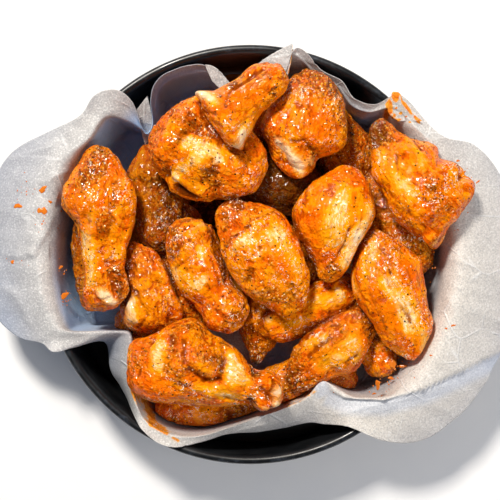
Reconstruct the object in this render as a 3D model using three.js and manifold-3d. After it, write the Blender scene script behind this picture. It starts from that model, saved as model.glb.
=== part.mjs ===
// Sauced chicken wings heaped in a round tin that is lined with a crumpled sheet of parchment paper.
// Millimetres, +Z up. The origin is the centre of the tin's underside, and the heap is seen with +Y away.
import * as THREE from "three";
import { mergeVertices } from "three/addons/utils/BufferGeometryUtils.js";
import Module from "manifold-3d";

const wasm = await Module();
wasm.setup();

const DEG = Math.PI / 180;
const GAP = 0.35; // kept between solids that touch
const PAPER_GAP = 0.6; // and between food and paper, whose folds are sharper

// ---- driving sizes -------------------------------------------------------------------------------------

const tin = {
  outerRadius: 118, // over the rolled rim
  height: 50,
  wall: 1.2,
  beadRadius: 2.2, // the rim is rolled outwards into a bead
  cornerRadius: 6, // between floor and wall
  steps: 48,
};

const sheet = {
  thick: 0.7,
  floorGap: 0.5, // air under the sheet on the tin's floor
  mostFoot: 101, // radius where the sheet turns up the wall
  mostWall: 110.5, // the sheet keeps inside this radius below the rim
  footInset: 4, // the foot lies this far inside the lip above it
  cornerRise: 1.15, // power that rounds the turn from floor to wall
  rings: 11,
};

// ---- helpers -------------------------------------------------------------------------------------------

const clamp = (x, low, high) => Math.min(high, Math.max(low, x));
const mix = (a, b, t) => a + (b - a) * t;

// The smooth curve through rows of numbers, at t from 0 to 1 between b and c.
function between(a, b, c, d, t) {
  return b.map((_, i) => {
    const slope = (c[i] - a[i]) / 2;
    const next = (d[i] - b[i]) / 2;
    const rise = c[i] - b[i];
    return b[i] + t * (slope + t * (3 * rise - 2 * slope - next + t * (slope + next - 2 * rise)));
  });
}

// A closed skin over rings of points, each ring with the same count, that ends in one point at either end.
function skinOver(first, rings, last) {
  const count = rings[0].length;
  const points = [first, ...rings.flat(), last];
  const at = (ring, i) => 1 + ring * count + (i % count);
  const faces = [];
  for (let i = 0; i < count; i++) faces.push([0, at(0, i + 1), at(0, i)]);
  for (let ring = 0; ring + 1 < rings.length; ring++) {
    for (let i = 0; i < count; i++) {
      const [a, b] = [at(ring, i), at(ring, i + 1)];
      const [c, d] = [at(ring + 1, i), at(ring + 1, i + 1)];
      faces.push([a, b, d], [a, d, c]);
    }
  }
  const end = points.length - 1;
  const lastRing = rings.length - 1;
  for (let i = 0; i < count; i++) faces.push([end, at(lastRing, i), at(lastRing, i + 1)]);
  const geometry = new THREE.BufferGeometry();
  geometry.setAttribute("position", new THREE.Float32BufferAttribute(points.flatMap((p) => p.toArray()), 3));
  geometry.setIndex(faces.flat());
  return geometry;
}

function solidFrom(geometry) {
  const bare = geometry.clone();
  bare.deleteAttribute("normal");
  bare.deleteAttribute("uv");
  const merged = mergeVertices(bare, 1e-3);
  return new wasm.Manifold(
    new wasm.Mesh({
      numProp: 3,
      vertProperties: merged.attributes.position.array,
      triVerts: new Uint32Array(merged.index.array),
    }),
  );
}

function geometryFrom(solid) {
  const mesh = solid.getMesh();
  const geometry = new THREE.BufferGeometry();
  geometry.setAttribute("position", new THREE.BufferAttribute(mesh.vertProperties, 3));
  geometry.setIndex(new THREE.BufferAttribute(mesh.triVerts, 1));
  geometry.computeVertexNormals();
  return geometry;
}

// ---- the tin -------------------------------------------------------------------------------------------

function tinGeometry() {
  const { outerRadius, height, wall, beadRadius, cornerRadius, steps } = tin;
  const outerWall = outerRadius - 2 * beadRadius + wall;
  const innerWall = outerWall - wall;
  const profile = [new THREE.Vector2(0, 0)];
  const arc = (x, y, radius, from, to, parts) => {
    for (let i = 0; i <= parts; i++) {
      const angle = mix(from, to, i / parts);
      profile.push(new THREE.Vector2(x + radius * Math.cos(angle), y + radius * Math.sin(angle)));
    }
  };
  arc(outerWall - cornerRadius, cornerRadius, cornerRadius, -90 * DEG, 0, 2);
  arc(outerRadius - beadRadius, height - beadRadius, beadRadius, -120 * DEG, 150 * DEG, 5);
  arc(innerWall - cornerRadius + wall, cornerRadius, cornerRadius - wall, 0, -90 * DEG, 2);
  profile.push(new THREE.Vector2(0, wall));
  return new THREE.LatheGeometry(profile, steps).rotateX(90 * DEG);
}

// ---- the sheet of paper --------------------------------------------------------------------------------

// Round the tin, anticlockwise from +X: the fold that stands highest (turn, radius, height), then the free edge
// (turn, radius, height). Where the edge has the larger radius the paper falls outwards, otherwise it folds in.
const folds = [
  [0, 118, 54, 0, 153, 43],
  [9, 118, 54, 9, 153, 42],
  [18, 118, 54, 18, 149, 43],
  [25, 117, 55, 26, 141, 47],
  [30, 116, 56, 31, 127, 53],
  [39, 115, 56, 38, 123, 55],
  [46, 113, 57, 47, 121, 58],
  [50, 104, 46, 50, 109, 52],
  [56, 102, 40, 56, 105, 46],
  [62, 107, 40, 62, 110, 47],
  [70, 108, 42, 69, 111, 48],
  [77, 113, 54, 77, 117, 58],
  [83, 111, 54, 80, 101, 51],
  [90, 104, 47, 90, 98, 46],
  [97, 97, 38, 98, 96, 44],
  [103, 105, 42, 103, 108, 48],
  [108, 108, 42, 108, 111.5, 49],
  [114, 108, 42, 114, 111.5, 49],
  [119, 106, 41, 119, 109, 48],
  [122.5, 99, 38, 122.5, 103, 46],
  [126, 91, 32, 126, 93, 39],
  [130, 90, 36, 131, 91, 42],
  [132, 100, 44, 128, 107, 52],
  [135, 109, 52, 129, 117, 57],
  [139, 111, 54, 134, 123, 58],
  [144, 110, 54, 141, 122, 56],
  [152, 115, 54, 149, 133, 50],
  [160, 118, 54, 158, 148, 44],
  [170, 118, 54, 169, 153, 42],
  [180, 118, 54, 180, 153, 42],
  [190, 118, 54, 191, 151, 43],
  [197, 116, 54, 199, 140, 47],
  [202, 112, 54, 203, 127, 51],
  [208, 92, 48, 207, 120, 54],
  [213, 82, 45, 211, 98, 38],
  [221, 89, 47, 219, 105, 27],
  [229, 101, 49, 228, 109, 32],
  [238, 109, 53, 238, 114, 55],
  [247, 109, 53, 247, 116, 55],
  [255, 105, 49, 255, 110, 47],
  [263, 98, 47, 263, 103, 42],
  [272, 92, 47, 272, 102, 38],
  [282, 89, 46, 281, 102, 37],
  [291, 87, 46, 288, 102, 37],
  [300, 83, 48, 293, 105, 41],
  [306, 98, 51, 300, 111, 54],
  [314, 110, 53, 306, 130, 49],
  [321, 117, 54, 313, 144, 44],
  [331, 118, 54, 325, 151, 42],
  [341, 118, 54, 337, 153, 42],
  [350, 118, 54, 348, 153, 42],
];

const sheetFloor = () => tin.wall + sheet.floorGap + sheet.thick / 2; // the height of its middle surface

// One line of the sheet from the middle of the floor to its free edge, as [turn, radius, height] stations.
function sheetLine(fold) {
  const [lipTurn, lipRadius, lipHeight, edgeTurn, edgeRadius, edgeHeight] = fold;
  const floor = sheetFloor();
  const foot = Math.min(sheet.mostFoot, lipRadius - sheet.footInset);
  const wall = (t) => [
    lipTurn,
    mix(foot, Math.min(lipRadius, sheet.mostWall), 1 - (1 - t) ** 2),
    mix(floor, lipHeight, t ** sheet.cornerRise),
  ];
  return [
    [lipTurn, foot * 0.4, floor],
    [lipTurn, foot * 0.8, floor],
    [lipTurn, foot, floor + 0.4],
    wall(0.28),
    wall(0.55),
    wall(0.85),
    [lipTurn, lipRadius, lipHeight],
    [mix(lipTurn, edgeTurn, 0.55), mix(lipRadius, edgeRadius, 0.5), mix(lipHeight, edgeHeight, 0.4)],
    [edgeTurn, edgeRadius, edgeHeight],
  ];
}

// The middle surface of the sheet: rings of points, from the smallest to the free edge.
function sheetRings() {
  const columns = folds.map(sheetLine);
  const stations = columns[0].length;
  const rings = [];
  for (let ring = 0; ring < sheet.rings; ring++) {
    const along = (ring / (sheet.rings - 1)) * (stations - 1);
    const i = Math.min(Math.floor(along), stations - 2);
    rings.push(
      columns.map((line) => {
        const near = [i - 1, i, i + 1, i + 2].map((k) => line[clamp(k, 0, stations - 1)]);
        const [turn, radius, height] = between(...near, along - i);
        const place = new THREE.Vector3(radius * Math.cos(turn * DEG), radius * Math.sin(turn * DEG), height);
        return place.setZ(Math.max(height, sheetFloor()));
      }),
    );
  }
  return rings;
}

// The sheet as a thin solid: both faces of the middle surface, joined along the free edge.
function sheetGeometry(thick) {
  const rings = sheetRings();
  const count = rings[0].length;
  const centre = new THREE.Vector3(0, 0, sheetFloor());
  const offset = (side) =>
    rings.map((ring, k) =>
      ring.map((p, i) => {
        const around = ring[(i + 1) % count].clone().sub(ring[(i + count - 1) % count]);
        const out = (rings[k + 1] || ring)[i].clone().sub(k ? rings[k - 1][i] : centre);
        return p.clone().addScaledVector(out.cross(around).normalize(), (side * thick) / 2);
      }),
    );
  const [upper, lower] = [offset(1), offset(-1)];
  const half = new THREE.Vector3(0, 0, thick / 2);
  return skinOver(centre.clone().sub(half), [...lower, ...upper.reverse()], centre.clone().add(half));
}

// ---- the wings -----------------------------------------------------------------------------------------

const STATIONS = [-0.9, -0.6, -0.3, 0, 0.3, 0.6, 0.9]; // where the widths of a piece are given, from end to end
const BLUNT = 2.5; // power that rounds the ends of a piece
const GOLDEN_ANGLE = 2.399963;
const natural = { length: 22, height: 1.2, waves: 6 }; // the slow unevenness that every piece has
const coarse = { rings: 9, around: 10 };
const close = { rings: 13, around: 13 };

// Plain half widths for pieces of which little shows.
const plainFlat = [9, 14, 16, 16, 15, 13, 9];
const plainDrumette = [9, 15, 18, 18, 15, 11, 8];

// Bottom to top, in the order in which they are laid: each gives way to those under it, as soft food does.
// at is the middle of the piece, heading is the way that its thin end points and pitch lifts that end. left and
// right are its half widths at the stations and deep its thickness as a share of its width. Each mark is
// [end, side, end, side, radius, height]: a swelling, or a crease if the height is negative, along the line
// between two points of the upper skin. Ends run from -1 to 1 and sides are in mm, to the left if positive.
const heap = [
  { name: "flat_under_bottom_right", at: [33, -75, 23], heading: 12, long: 60, deep: 0.75, mesh: coarse,
    left: plainFlat, right: plainFlat, seed: 8, marks: [[-0.6, 5, 0.7, 5, 5, 2]] },
  { name: "flat_under_lower_left", at: [-52, -50, 24], heading: -35, long: 60, deep: 0.75, mesh: coarse,
    left: plainFlat, right: plainFlat, seed: 10, marks: [[-0.6, 6, 0.7, 6, 6, 2]] },
  { name: "flat_under_left", at: [-89, 2, 24], heading: 82, long: 72, deep: 0.75, mesh: coarse,
    left: plainFlat, right: plainFlat, seed: 1, marks: [[-0.6, 6, 0.7, 6, 6, 2]] },
  { name: "flat_under_middle_left", at: [-37, -8, 25], heading: 98, long: 78, deep: 0.75, mesh: coarse,
    left: plainFlat, right: plainFlat, seed: 24, marks: [[-0.6, 6, 0.7, 6, 6, 2]] },
  { name: "drumette_under_middle", at: [24, -8, 22], heading: -60, long: 74, deep: 0.75, mesh: coarse,
    left: plainDrumette, right: plainDrumette, seed: 25, marks: [[0, 0, 0.3, 0, 7, 2]] },
  { name: "flat_under_top", at: [6, 78, 27], heading: 95, long: 60, deep: 0.75, mesh: coarse,
    left: plainFlat, right: plainFlat, seed: 26, marks: [[-0.6, 6, 0.7, 6, 6, 2]] },
  { name: "drumette_under_top", at: [55, 60, 24], heading: 112, long: 66, deep: 0.8, mesh: close,
    left: plainDrumette, right: plainDrumette, seed: 3,
    marks: [[0.1, 0, 0.4, 0, 7, 2], [0.9, 0, 0.9, 0, 6, 3]] },
  { name: "drumette_under_bottom", at: [-22, -88, 25], heading: 5, long: 66, deep: 0.8, mesh: close,
    left: [8, 11, 13, 14, 13, 11, 8], right: [7, 11, 12, 12, 11, 10, 7], seed: 7,
    marks: [[-0.6, 2, 0, -2, 8, 2]] },
  { name: "drumette_in_shadow_left", at: [-54, 31, 29], heading: 102, long: 66, deep: 0.8, mesh: close,
    left: [10, 15, 14, 12, 13, 13, 5], right: [8, 13, 15, 15, 14, 12, 7], seed: 2,
    marks: [[-0.5, 5, 0, 3, 8, 2]] },
  { name: "drumette_knuckle_right", at: [62, -40, 27], heading: -58, long: 68, deep: 0.8, mesh: close,
    left: [9, 15, 17, 15, 11, 10, 9], right: [9, 15, 17, 15, 11, 10, 9], seed: 9,
    marks: [[0.9, 2, 0.9, 2, 7, 3]] },
  { name: "drumette_bone_end", at: [7, -34, 29], heading: -98, long: 58, deep: 0.85, mesh: close,
    left: [8, 13, 15, 16, 14.5, 10, 3.5], right: [8, 12, 14, 15, 13, 8, 3.5], seed: 6,
    marks: [[0.95, 0, 0.95, 0, 3, 1.5]] },
  { name: "flat_under_right", at: [84, 19, 31], heading: -62, long: 66, deep: 0.75, mesh: coarse,
    left: plainFlat, right: plainFlat, seed: 5, marks: [[-0.6, 6, 0.7, 6, 6, 2]] },
  { name: "drumette_in_shadow_middle", at: [18, 42, 31], heading: -25, long: 74, deep: 0.75, mesh: close,
    left: [10, 17, 21, 21, 18, 14, 9], right: [10, 17, 21, 21, 18, 14, 9], seed: 4,
    marks: [[-0.2, -8, 0.3, 6, 9, 2]] },
  { name: "flat_diagonal", at: [33, -31, 36], heading: 24, long: 64, deep: 0.85, mesh: close,
    left: [6, 11, 12, 12, 12, 11, 7], right: [6, 10, 12, 12, 11, 9, 6], seed: 12,
    marks: [[-0.75, 4, -0.75, 4, 5, 2.5], [0.2, 2, 0.2, 6, 5, 2], [0.6, 2, 0.6, 4, 5, 2],
      [0.4, 8, 0.4, -8, 3, -2]] },
  { name: "drumette_lower_right", at: [47, -52.5, 40], heading: -140, long: 66, deep: 0.75, mesh: close,
    left: [8, 12, 15, 17, 14, 12, 8], right: [5, 12, 13.5, 16, 16, 12, 6], seed: 13,
    marks: [[-0.3, 8, 0.1, 12, 7, 2.5], [0.25, 10, 0.4, -12, 3, -2], [-0.3, -4, 0.1, -6, 7, 2]] },
  { name: "flat_lower_left", at: [-58, -18.5, 42], heading: -66, long: 58, deep: 0.7, mesh: close,
    left: [5, 12, 14.5, 14.5, 14, 11, 5], right: [3, 7, 10, 17, 21, 19, 10], seed: 11,
    marks: [[-0.1, 11, 0.8, 9, 4, 3], [-0.1, 6, 0.8, 5, 2.5, -3], [0.4, -13, 0.5, -11, 5, 2.5]] },
  { name: "flat_middle_left", at: [-24.5, -12, 46], heading: -62, long: 70, deep: 0.85, mesh: close,
    left: [9, 15, 15, 11, 11.5, 14.5, 10], right: [4, 13, 17, 18, 12, 12.5, 8], seed: 14,
    marks: [[0.2, 9, 0.35, -11, 3, -3], [0.7, 6, 0.7, -6, 8, 2], [-0.1, -10, 0.1, -8, 8, 2],
      [-0.6, 8, -0.3, 4, 3, -2]] },
  { name: "drumette_left", at: [-84, 15, 50], heading: -88, long: 92, deep: 0.8, mesh: close,
    left: [10, 16, 20, 18, 13.5, 12, 11], right: [9, 17, 21, 13, 10, 10, 9], seed: 21,
    marks: [[-0.6, 13, 0.4, 10, 5, 2.5], [-0.2, 7, 0.4, 6, 2.5, -2.5], [-0.2, 3, -0.1, 2, 6, 2.5],
      [0.8, 0, 0.8, 0, 4.5, 2.5], [0.9, 6, 0.9, 6, 4, 2.5]] },
  { name: "drumette_bottom_left", at: [-24.5, -66, 51], heading: -16, long: 90, deep: 0.75, mesh: close,
    left: [8, 20, 28, 21, 17, 10, 9], right: [18, 23.5, 22, 19, 15, 11, 9], seed: 15,
    marks: [[0, 4, 0, 4, 8, 4], [-0.15, -3, 0.15, -3, 3, -2.5], [-0.3, 22, -0.3, 18, 7, 3],
      [-0.7, -14, -0.5, -16, 8, 2], [0.58, 8, 0.6, -10, 3, -2.5], [0.78, 4, 0.85, 3, 5, 3],
      [0.8, -7, 0.9, -6, 5, 3]] },
  { name: "flat_right", at: [79, -23, 50], heading: -69, long: 78, deep: 0.62, mesh: close,
    left: [8, 17, 22, 21, 18, 16, 7], right: [8, 15, 19, 18, 15, 13, 7], seed: 18,
    marks: [[-0.5, 9, 0.6, 8, 7, 2], [-0.4, -9, 0.5, -7, 7, 1.5], [0.85, 2, 0.9, 2, 6, 1.5]] },
  { name: "drumette_upper_right", at: [47, 18, 53], heading: -100, long: 66, deep: 0.72, mesh: close,
    left: [10, 20, 22, 20.5, 16, 12.5, 7], right: [7, 17, 22, 24, 20, 12, 5], seed: 17,
    marks: [[-0.3, 17, 0.75, 7, 4, 2.5], [-0.4, 10, 0.5, 6, 2.5, -3]] },
  { name: "drumette_far_right", at: [92, 42.5, 57], heading: 125, long: 76, deep: 0.72, mesh: close,
    left: [12, 20, 21.5, 20.5, 16.5, 10.5, 6], right: [8, 24, 24, 20, 19.5, 9, 5], seed: 19,
    marks: [[-0.92, 9, -1, 10, 4.5, 7], [-0.5, -22, -0.3, -22, 6, 3.5], [0.5, -16, 0.3, -17, 6, 3],
      [-0.5, 10, 0.3, 14, 5, 2], [0.6, 12, 0.7, -8, 3, -2.5], [-0.1, -6, 0.3, -4, 9, 2]] },
  { name: "drumette_top", at: [30, 72.5, 53], heading: -100, long: 62, deep: 0.7, mesh: close,
    left: [10, 18, 22, 25, 23.5, 13, 8], right: [7, 14, 17, 21, 22, 15, 3], seed: 20,
    marks: [[0.42, -8, 0.6, -1, 3.5, 2.5], [0.6, -1, 0.9, 5, 3.5, 2.5], [0.55, 12, 0.5, 4, 3, -2]] },
  { name: "drumette_middle", at: [7, 0, 55], heading: 124, long: 76, deep: 0.72, mesh: close,
    left: [11, 16, 20, 21, 19, 15, 8], right: [11, 18, 22, 23, 22, 16, 8], seed: 16,
    marks: [[0.35, 17, 0.5, 4, 3, -2.5], [0.5, 4, 0.42, -14, 3, -2.5], [0.1, 4, 0.2, -8, 10, 3],
      [-0.4, 14, -0.4, 12, 6, 2]] },
  { name: "drumette_upper_left", at: [-22, 57, 55], heading: 150, long: 66, deep: 0.68, mesh: close,
    left: [7, 21, 24, 27, 26, 25, 16], right: [8, 18.5, 22, 24, 25, 25, 11], seed: 22,
    marks: [[0.65, 14, 0.65, 4, 9, 4], [0.4, 24, 0.35, -4, 3, -4], [-0.3, -6, 0.35, -7, 3, -3],
      [-0.2, 22, 0.2, 26, 5, 3], [0.7, -12, 0.6, -16, 8, 3], [0, 6, 0, 6, 9, 2.5]] },
  { name: "drumette_on_top", at: [-1.5, 84.5, 70], heading: -143, pitch: 8, long: 50, deep: 0.85, mesh: close,
    left: [7, 9.5, 10.3, 12, 15, 18.5, 18], right: [7, 12, 13.5, 13, 13, 15, 16], seed: 23,
    marks: [[0.85, 15, 0.9, 12, 5, 2], [0.85, -16, 0.8, -17, 4, 4]] },
];

// A slow waviness through space, different for each seed: a few sine waves in evenly spread directions.
function unevenness(p, seed) {
  let sum = 0;
  for (let i = 0; i < natural.waves; i++) {
    const up = 1 - (2 * i + 1) / natural.waves;
    const side = Math.sqrt(1 - up * up);
    const turn = GOLDEN_ANGLE * (i + seed);
    const along = p.x * side * Math.cos(turn) + p.y * side * Math.sin(turn) + p.z * up;
    sum += Math.sin((2 * Math.PI * along) / (natural.length * (1 + 0.13 * i)) + 1.7 * seed + i);
  }
  return (natural.height * sum) / natural.waves;
}

const blunt = (end) => (1 - Math.min(1, Math.abs(end)) ** BLUNT) ** (1 / BLUNT);

// The half widths to the left and right at any end value, smooth through the stations and round at the ends.
function halfWidths(wing, end) {
  const rows = STATIONS.map((at, i) => [wing.left[i] / blunt(at), wing.right[i] / blunt(at)]);
  const place = clamp((end - STATIONS[0]) / (STATIONS[1] - STATIONS[0]), 0, rows.length - 1.001);
  const i = Math.floor(place);
  const near = [i - 1, i, i + 1, i + 2].map((k) => rows[clamp(k, 0, rows.length - 1)]);
  return between(...near, place - i).map((half) => half * blunt(end));
}

// A point of a piece's skin before it is placed, with the way out of it there. turn goes round the piece.
function bodyPoint(wing, end, turn) {
  const [left, right] = halfWidths(wing, end);
  const [across, up] = [Math.cos(turn), Math.sin(turn)];
  const side = across > 0 ? left : right;
  const [longHalf, widest] = [wing.long / 2, Math.max(...wing.left, ...wing.right)];
  const point = new THREE.Vector3(end * longHalf, side * across, (up * wing.deep * (left + right)) / 2);
  const out = new THREE.Vector3(end / longHalf, (across * blunt(end)) / widest, (up * blunt(end)) / widest);
  return { point, out: out.normalize() };
}

function markPoint(wing, end, side) {
  const [left, right] = halfWidths(wing, end);
  return bodyPoint(wing, end, Math.acos(clamp(side / (side > 0 ? left : right), -1, 1))).point;
}

function wingGeometry(wing, grow = 0) {
  const lines = wing.marks.map(([endA, sideA, endB, sideB, radius, height]) => {
    const line = new THREE.Line3(markPoint(wing, endA, sideA), markPoint(wing, endB, sideB));
    return { line, radius, height };
  });
  const skinPoint = (end, turn) => {
    const { point, out } = bodyPoint(wing, end, turn);
    let lift = grow + unevenness(point, wing.seed);
    for (const { line, radius, height } of lines) {
      const near = line.closestPointToPoint(point, true, new THREE.Vector3());
      lift += height * Math.exp(-near.distanceToSquared(point) / radius ** 2);
    }
    return point.addScaledVector(out, lift);
  };
  const { rings, around } = wing.mesh;
  const ends = Array.from({ length: rings }, (_, i) => -Math.cos((Math.PI * (i + 1)) / (rings + 1)));
  const skin = ends.map((end) =>
    Array.from({ length: around }, (_, i) => skinPoint(end, (2 * Math.PI * i) / around)),
  );
  return skinOver(skinPoint(-1, 0), skin, skinPoint(1, 0));
}

function placement({ at, heading, pitch = 0 }) {
  const turn = new THREE.Euler(0, -pitch * DEG, heading * DEG, "ZYX");
  return new THREE.Matrix4().makeRotationFromEuler(turn).setPosition(...at);
}

function largestPart(solid) {
  return solid.decompose().reduce((best, part) => (part.volume() > best.volume() ? part : best));
}

// ---- the serving ---------------------------------------------------------------------------------------

const finishes = {
  tin: new THREE.MeshStandardMaterial({ color: 0x16181b, roughness: 0.4, metalness: 0.6 }),
  paper: new THREE.MeshStandardMaterial({ color: 0xe6e4df, roughness: 0.75, metalness: 0 }),
  wing: new THREE.MeshStandardMaterial({ color: 0xe0741b, roughness: 0.35, metalness: 0 }),
};

const serving = new THREE.Group();

function add(name, geometry, material) {
  const mesh = new THREE.Mesh(geometry, material);
  mesh.name = name;
  serving.add(mesh);
  return mesh;
}

add("tin", tinGeometry(), finishes.tin);
add("paper", sheetGeometry(sheet.thick), finishes.paper);

const floorTop = tin.wall + sheet.floorGap + sheet.thick + PAPER_GAP;
const under = [
  solidFrom(new THREE.BoxGeometry(300, 300, 60).translate(0, 0, floorTop - 30)), // all that is below the sheet
  solidFrom(sheetGeometry(sheet.thick + 2 * PAPER_GAP)),
];

for (const wing of heap) {
  const place = placement(wing);
  const whole = solidFrom(wingGeometry(wing)).transform(place.elements);
  const seated = largestPart(under.reduce((solid, other) => solid.subtract(other), whole));
  under.push(solidFrom(wingGeometry(wing, GAP)).transform(place.elements));
  const own = geometryFrom(seated.transform(place.clone().invert().elements));
  add(wing.name, own, finishes.wing).applyMatrix4(place);
}

export default serving;
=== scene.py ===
import math

import bpy
import numpy as np
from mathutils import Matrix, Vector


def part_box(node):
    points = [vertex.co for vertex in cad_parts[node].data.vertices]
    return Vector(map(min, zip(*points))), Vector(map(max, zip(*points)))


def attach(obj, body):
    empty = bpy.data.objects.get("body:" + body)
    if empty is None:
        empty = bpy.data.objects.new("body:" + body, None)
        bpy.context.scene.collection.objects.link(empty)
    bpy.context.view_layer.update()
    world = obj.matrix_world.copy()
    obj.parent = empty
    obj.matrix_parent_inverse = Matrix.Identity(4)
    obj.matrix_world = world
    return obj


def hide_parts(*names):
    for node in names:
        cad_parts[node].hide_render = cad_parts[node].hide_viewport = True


# Sauced chicken wings heaped in a round black tin that is lined with a crumpled sheet of baking parchment.
# Lengths in this script are millimetres until putMesh turns them into metres. +Y is away, +Z up.

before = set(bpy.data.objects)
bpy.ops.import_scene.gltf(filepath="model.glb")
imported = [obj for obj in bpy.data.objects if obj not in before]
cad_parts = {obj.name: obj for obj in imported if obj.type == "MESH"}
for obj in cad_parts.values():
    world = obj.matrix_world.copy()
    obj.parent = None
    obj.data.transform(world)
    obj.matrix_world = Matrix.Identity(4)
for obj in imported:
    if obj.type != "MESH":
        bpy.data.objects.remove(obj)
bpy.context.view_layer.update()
print("frame loaded")

draws = np.random.default_rng(7)  # the only source of random numbers, so each run is the same
metres = 0.001  # in one millimetre


def toLinear(hexColour):
    # from sRGB: c / 12.92 for the darkest, else ((c + 0.055) / 1.055)^2.4
    channels = [int(hexColour[i:i + 2], 16) / 255 for i in (1, 3, 5)]
    return [c / 12.92 if c <= 0.04045 else ((c + 0.055) / 1.055) ** 2.4 for c in channels] + [1.0]


def feed(tree, node, inputs):
    # inputs are numbers, colours or sockets to link
    for key, value in inputs.items():
        if isinstance(value, bpy.types.NodeSocket):
            tree.links.new(value, node.inputs[key])
        else:
            node.inputs[key].default_value = value


def addNode(tree, kind, inputs=None, **settings):
    # one node of that kind: settings are its own properties
    node = tree.nodes.new(kind)
    for key, value in settings.items():
        setattr(node, key, value)
    feed(tree, node, inputs or {})
    return node


def newMaterial(name):
    material = bpy.data.materials.new(name)
    material.use_nodes = True
    tree = material.node_tree
    tree.nodes.clear()
    shader = addNode(tree, "ShaderNodeBsdfPrincipled")
    addNode(tree, "ShaderNodeOutputMaterial", {"Surface": shader.outputs["BSDF"]})
    return material, tree, shader


def addPatterns(tree, place, patterns, values):
    # clouds of noise: size in mm, detail, roughness, distortion, and by what share of that they change along
    # x
    for name, (size, detail, rough, twist, along) in patterns.items():
        spot = addNode(tree, "ShaderNodeVectorMath", {0: place, 1: (along, 1, 1)}, operation="MULTIPLY")
        values[name] = addNode(tree, "ShaderNodeTexNoise", {
            "Vector": spot.outputs[0], "Scale": 1 / (metres * size), "Detail": detail, "Roughness": rough,
            "Distortion": twist}).outputs[0]


def addSteps(tree, steps, values, curve):
    # Sums in order, each from numbers and earlier values. A ramp gives a value, where it begins and ends, and
    # the results there.
    for name, operation, *terms in steps:
        inputs = {slot: values.get(term, term) for slot, term in enumerate(terms)}
        if operation == "RAMP":
            node = addNode(tree, "ShaderNodeMapRange", inputs, interpolation_type=curve)
        else:
            node = addNode(tree, "ShaderNodeMath", inputs, operation=operation)
        values[name] = node.outputs[0]


def addCoats(tree, colour, coats, values, curve):
    # colours laid over each other: a value, where the coat begins and where it is full, its strength there,
    # and its colour, and last any value that weakens it
    for value, begins, full, strength, tint, *weaker in coats:
        share = addNode(tree, "ShaderNodeMapRange", {0: values[value], 1: begins, 2: full, 4: strength},
                        interpolation_type=curve).outputs[0]
        for other in weaker:
            product = addNode(tree, "ShaderNodeMath", {0: share, 1: values[other]}, operation="MULTIPLY")
            share = product.outputs[0]
        tint = values[tint] if tint in values else toLinear(tint)
        colour = addNode(tree, "ShaderNodeMix", {0: share, 6: colour, 7: tint}, data_type="RGBA").outputs[2]
    return colour


def putMesh(name, points, faces, material, attributes=None, smooth=True):
    # points in mm, faces as an array of quads or triangles, or a list of such arrays
    groups = [faces] if isinstance(faces, np.ndarray) else list(faces)
    corners = np.concatenate([g.ravel() for g in groups]).astype(np.int32)
    totals = np.concatenate([np.full(len(g), g.shape[1]) for g in groups]).astype(np.int32)
    starts = np.concatenate([[0], np.cumsum(totals)[:-1]]).astype(np.int32)
    mesh = bpy.data.meshes.new(name)
    mesh.vertices.add(len(points))
    mesh.vertices.foreach_set("co", (np.asarray(points, float) * metres).astype(np.float32).ravel())
    mesh.loops.add(len(corners))
    mesh.loops.foreach_set("vertex_index", corners)
    mesh.polygons.add(len(totals))
    mesh.polygons.foreach_set("loop_start", starts)
    mesh.polygons.foreach_set("loop_total", totals)
    mesh.polygons.foreach_set("use_smooth", np.full(len(totals), smooth))
    for key, given in (attributes or {}).items():
        if given.ndim == 1:
            kind, field, values = "FLOAT", "value", given
        elif key == "own":
            kind, field, values = "FLOAT_VECTOR", "vector", given
        else:
            kind, field = "FLOAT_COLOR", "color"
            values = np.ones((len(points), 4))
            values[:, :given.shape[1]] = given
        data = mesh.attributes.new(key, kind, "POINT").data
        data.foreach_set(field, values.astype(np.float32).ravel())
    mesh.update(calc_edges=True)
    mesh.validate()
    mesh.materials.append(material)
    piece = bpy.data.objects.new(name, mesh)
    bpy.context.scene.collection.objects.link(piece)
    return piece


def gridFaces(rows, columns, closed=True):
    # quads between neighbouring rows of a grid, and round it where it closes on itself
    across = np.arange(columns if closed else columns - 1)
    down = np.arange(rows - 1)
    a = (down[:, None] * columns + across).ravel()
    b = (down[:, None] * columns + (across + 1) % columns).ravel()
    return np.stack([a, b, b + columns, a + columns], axis=1)


def closedFaces(rings, around):
    # a grid of closed rings, and fans of triangles from its first and last ring to the two points that follow
    # it
    across = np.arange(around)
    following = (across + 1) % around
    end = rings * around
    first = np.stack([np.full(around, end), following, across], axis=1)
    last = np.stack([np.full(around, end + 1), end - around + across, end - around + following], axis=1)
    return [gridFaces(rings, around), first, last]


hashTable = np.tile(draws.permutation(256), 3)
slopes = draws.normal(size=(256, 3))
slopes /= np.linalg.norm(slopes, axis=1, keepdims=True)
jitter = draws.random((256, 3))


def cellHash(cell):
    # a number from 0 to 255 for each cell, the same each time
    x, y, z = (cell & 255).T
    return hashTable[hashTable[hashTable[x] + y] + z]


def wander(points, size, seed=0):
    # smooth noise from about -1 to 1: a random slope at each corner of a cell of that size, blended by
    # 6t^5 - 15t^4 + 10t^3
    p = points / size + 17.13 * seed
    cell = np.floor(p).astype(np.int64)
    t = p - cell
    blend = t * t * t * (t * (6 * t - 15) + 10)
    total = np.zeros(len(points))
    for corner in np.ndindex(2, 2, 2):
        weight = np.prod(np.where(np.array(corner) == 1, blend, 1 - blend), axis=1)
        total += weight * ((t - corner) * slopes[cellHash(cell + corner)]).sum(1)
    return 1.7 * total


def layered(points, size, octaves, seed=0, rough=0.5):
    # the mean of wander at ever halved sizes, each weaker by the share rough; a seed is another part of the
    # noise
    total, weight, whole = 0, 1.0, 0
    for i in range(octaves):
        total = total + weight * wander(points, size / 2 ** i, seed + 3 * i)
        whole += weight
        weight *= rough
    return total / whole


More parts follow.
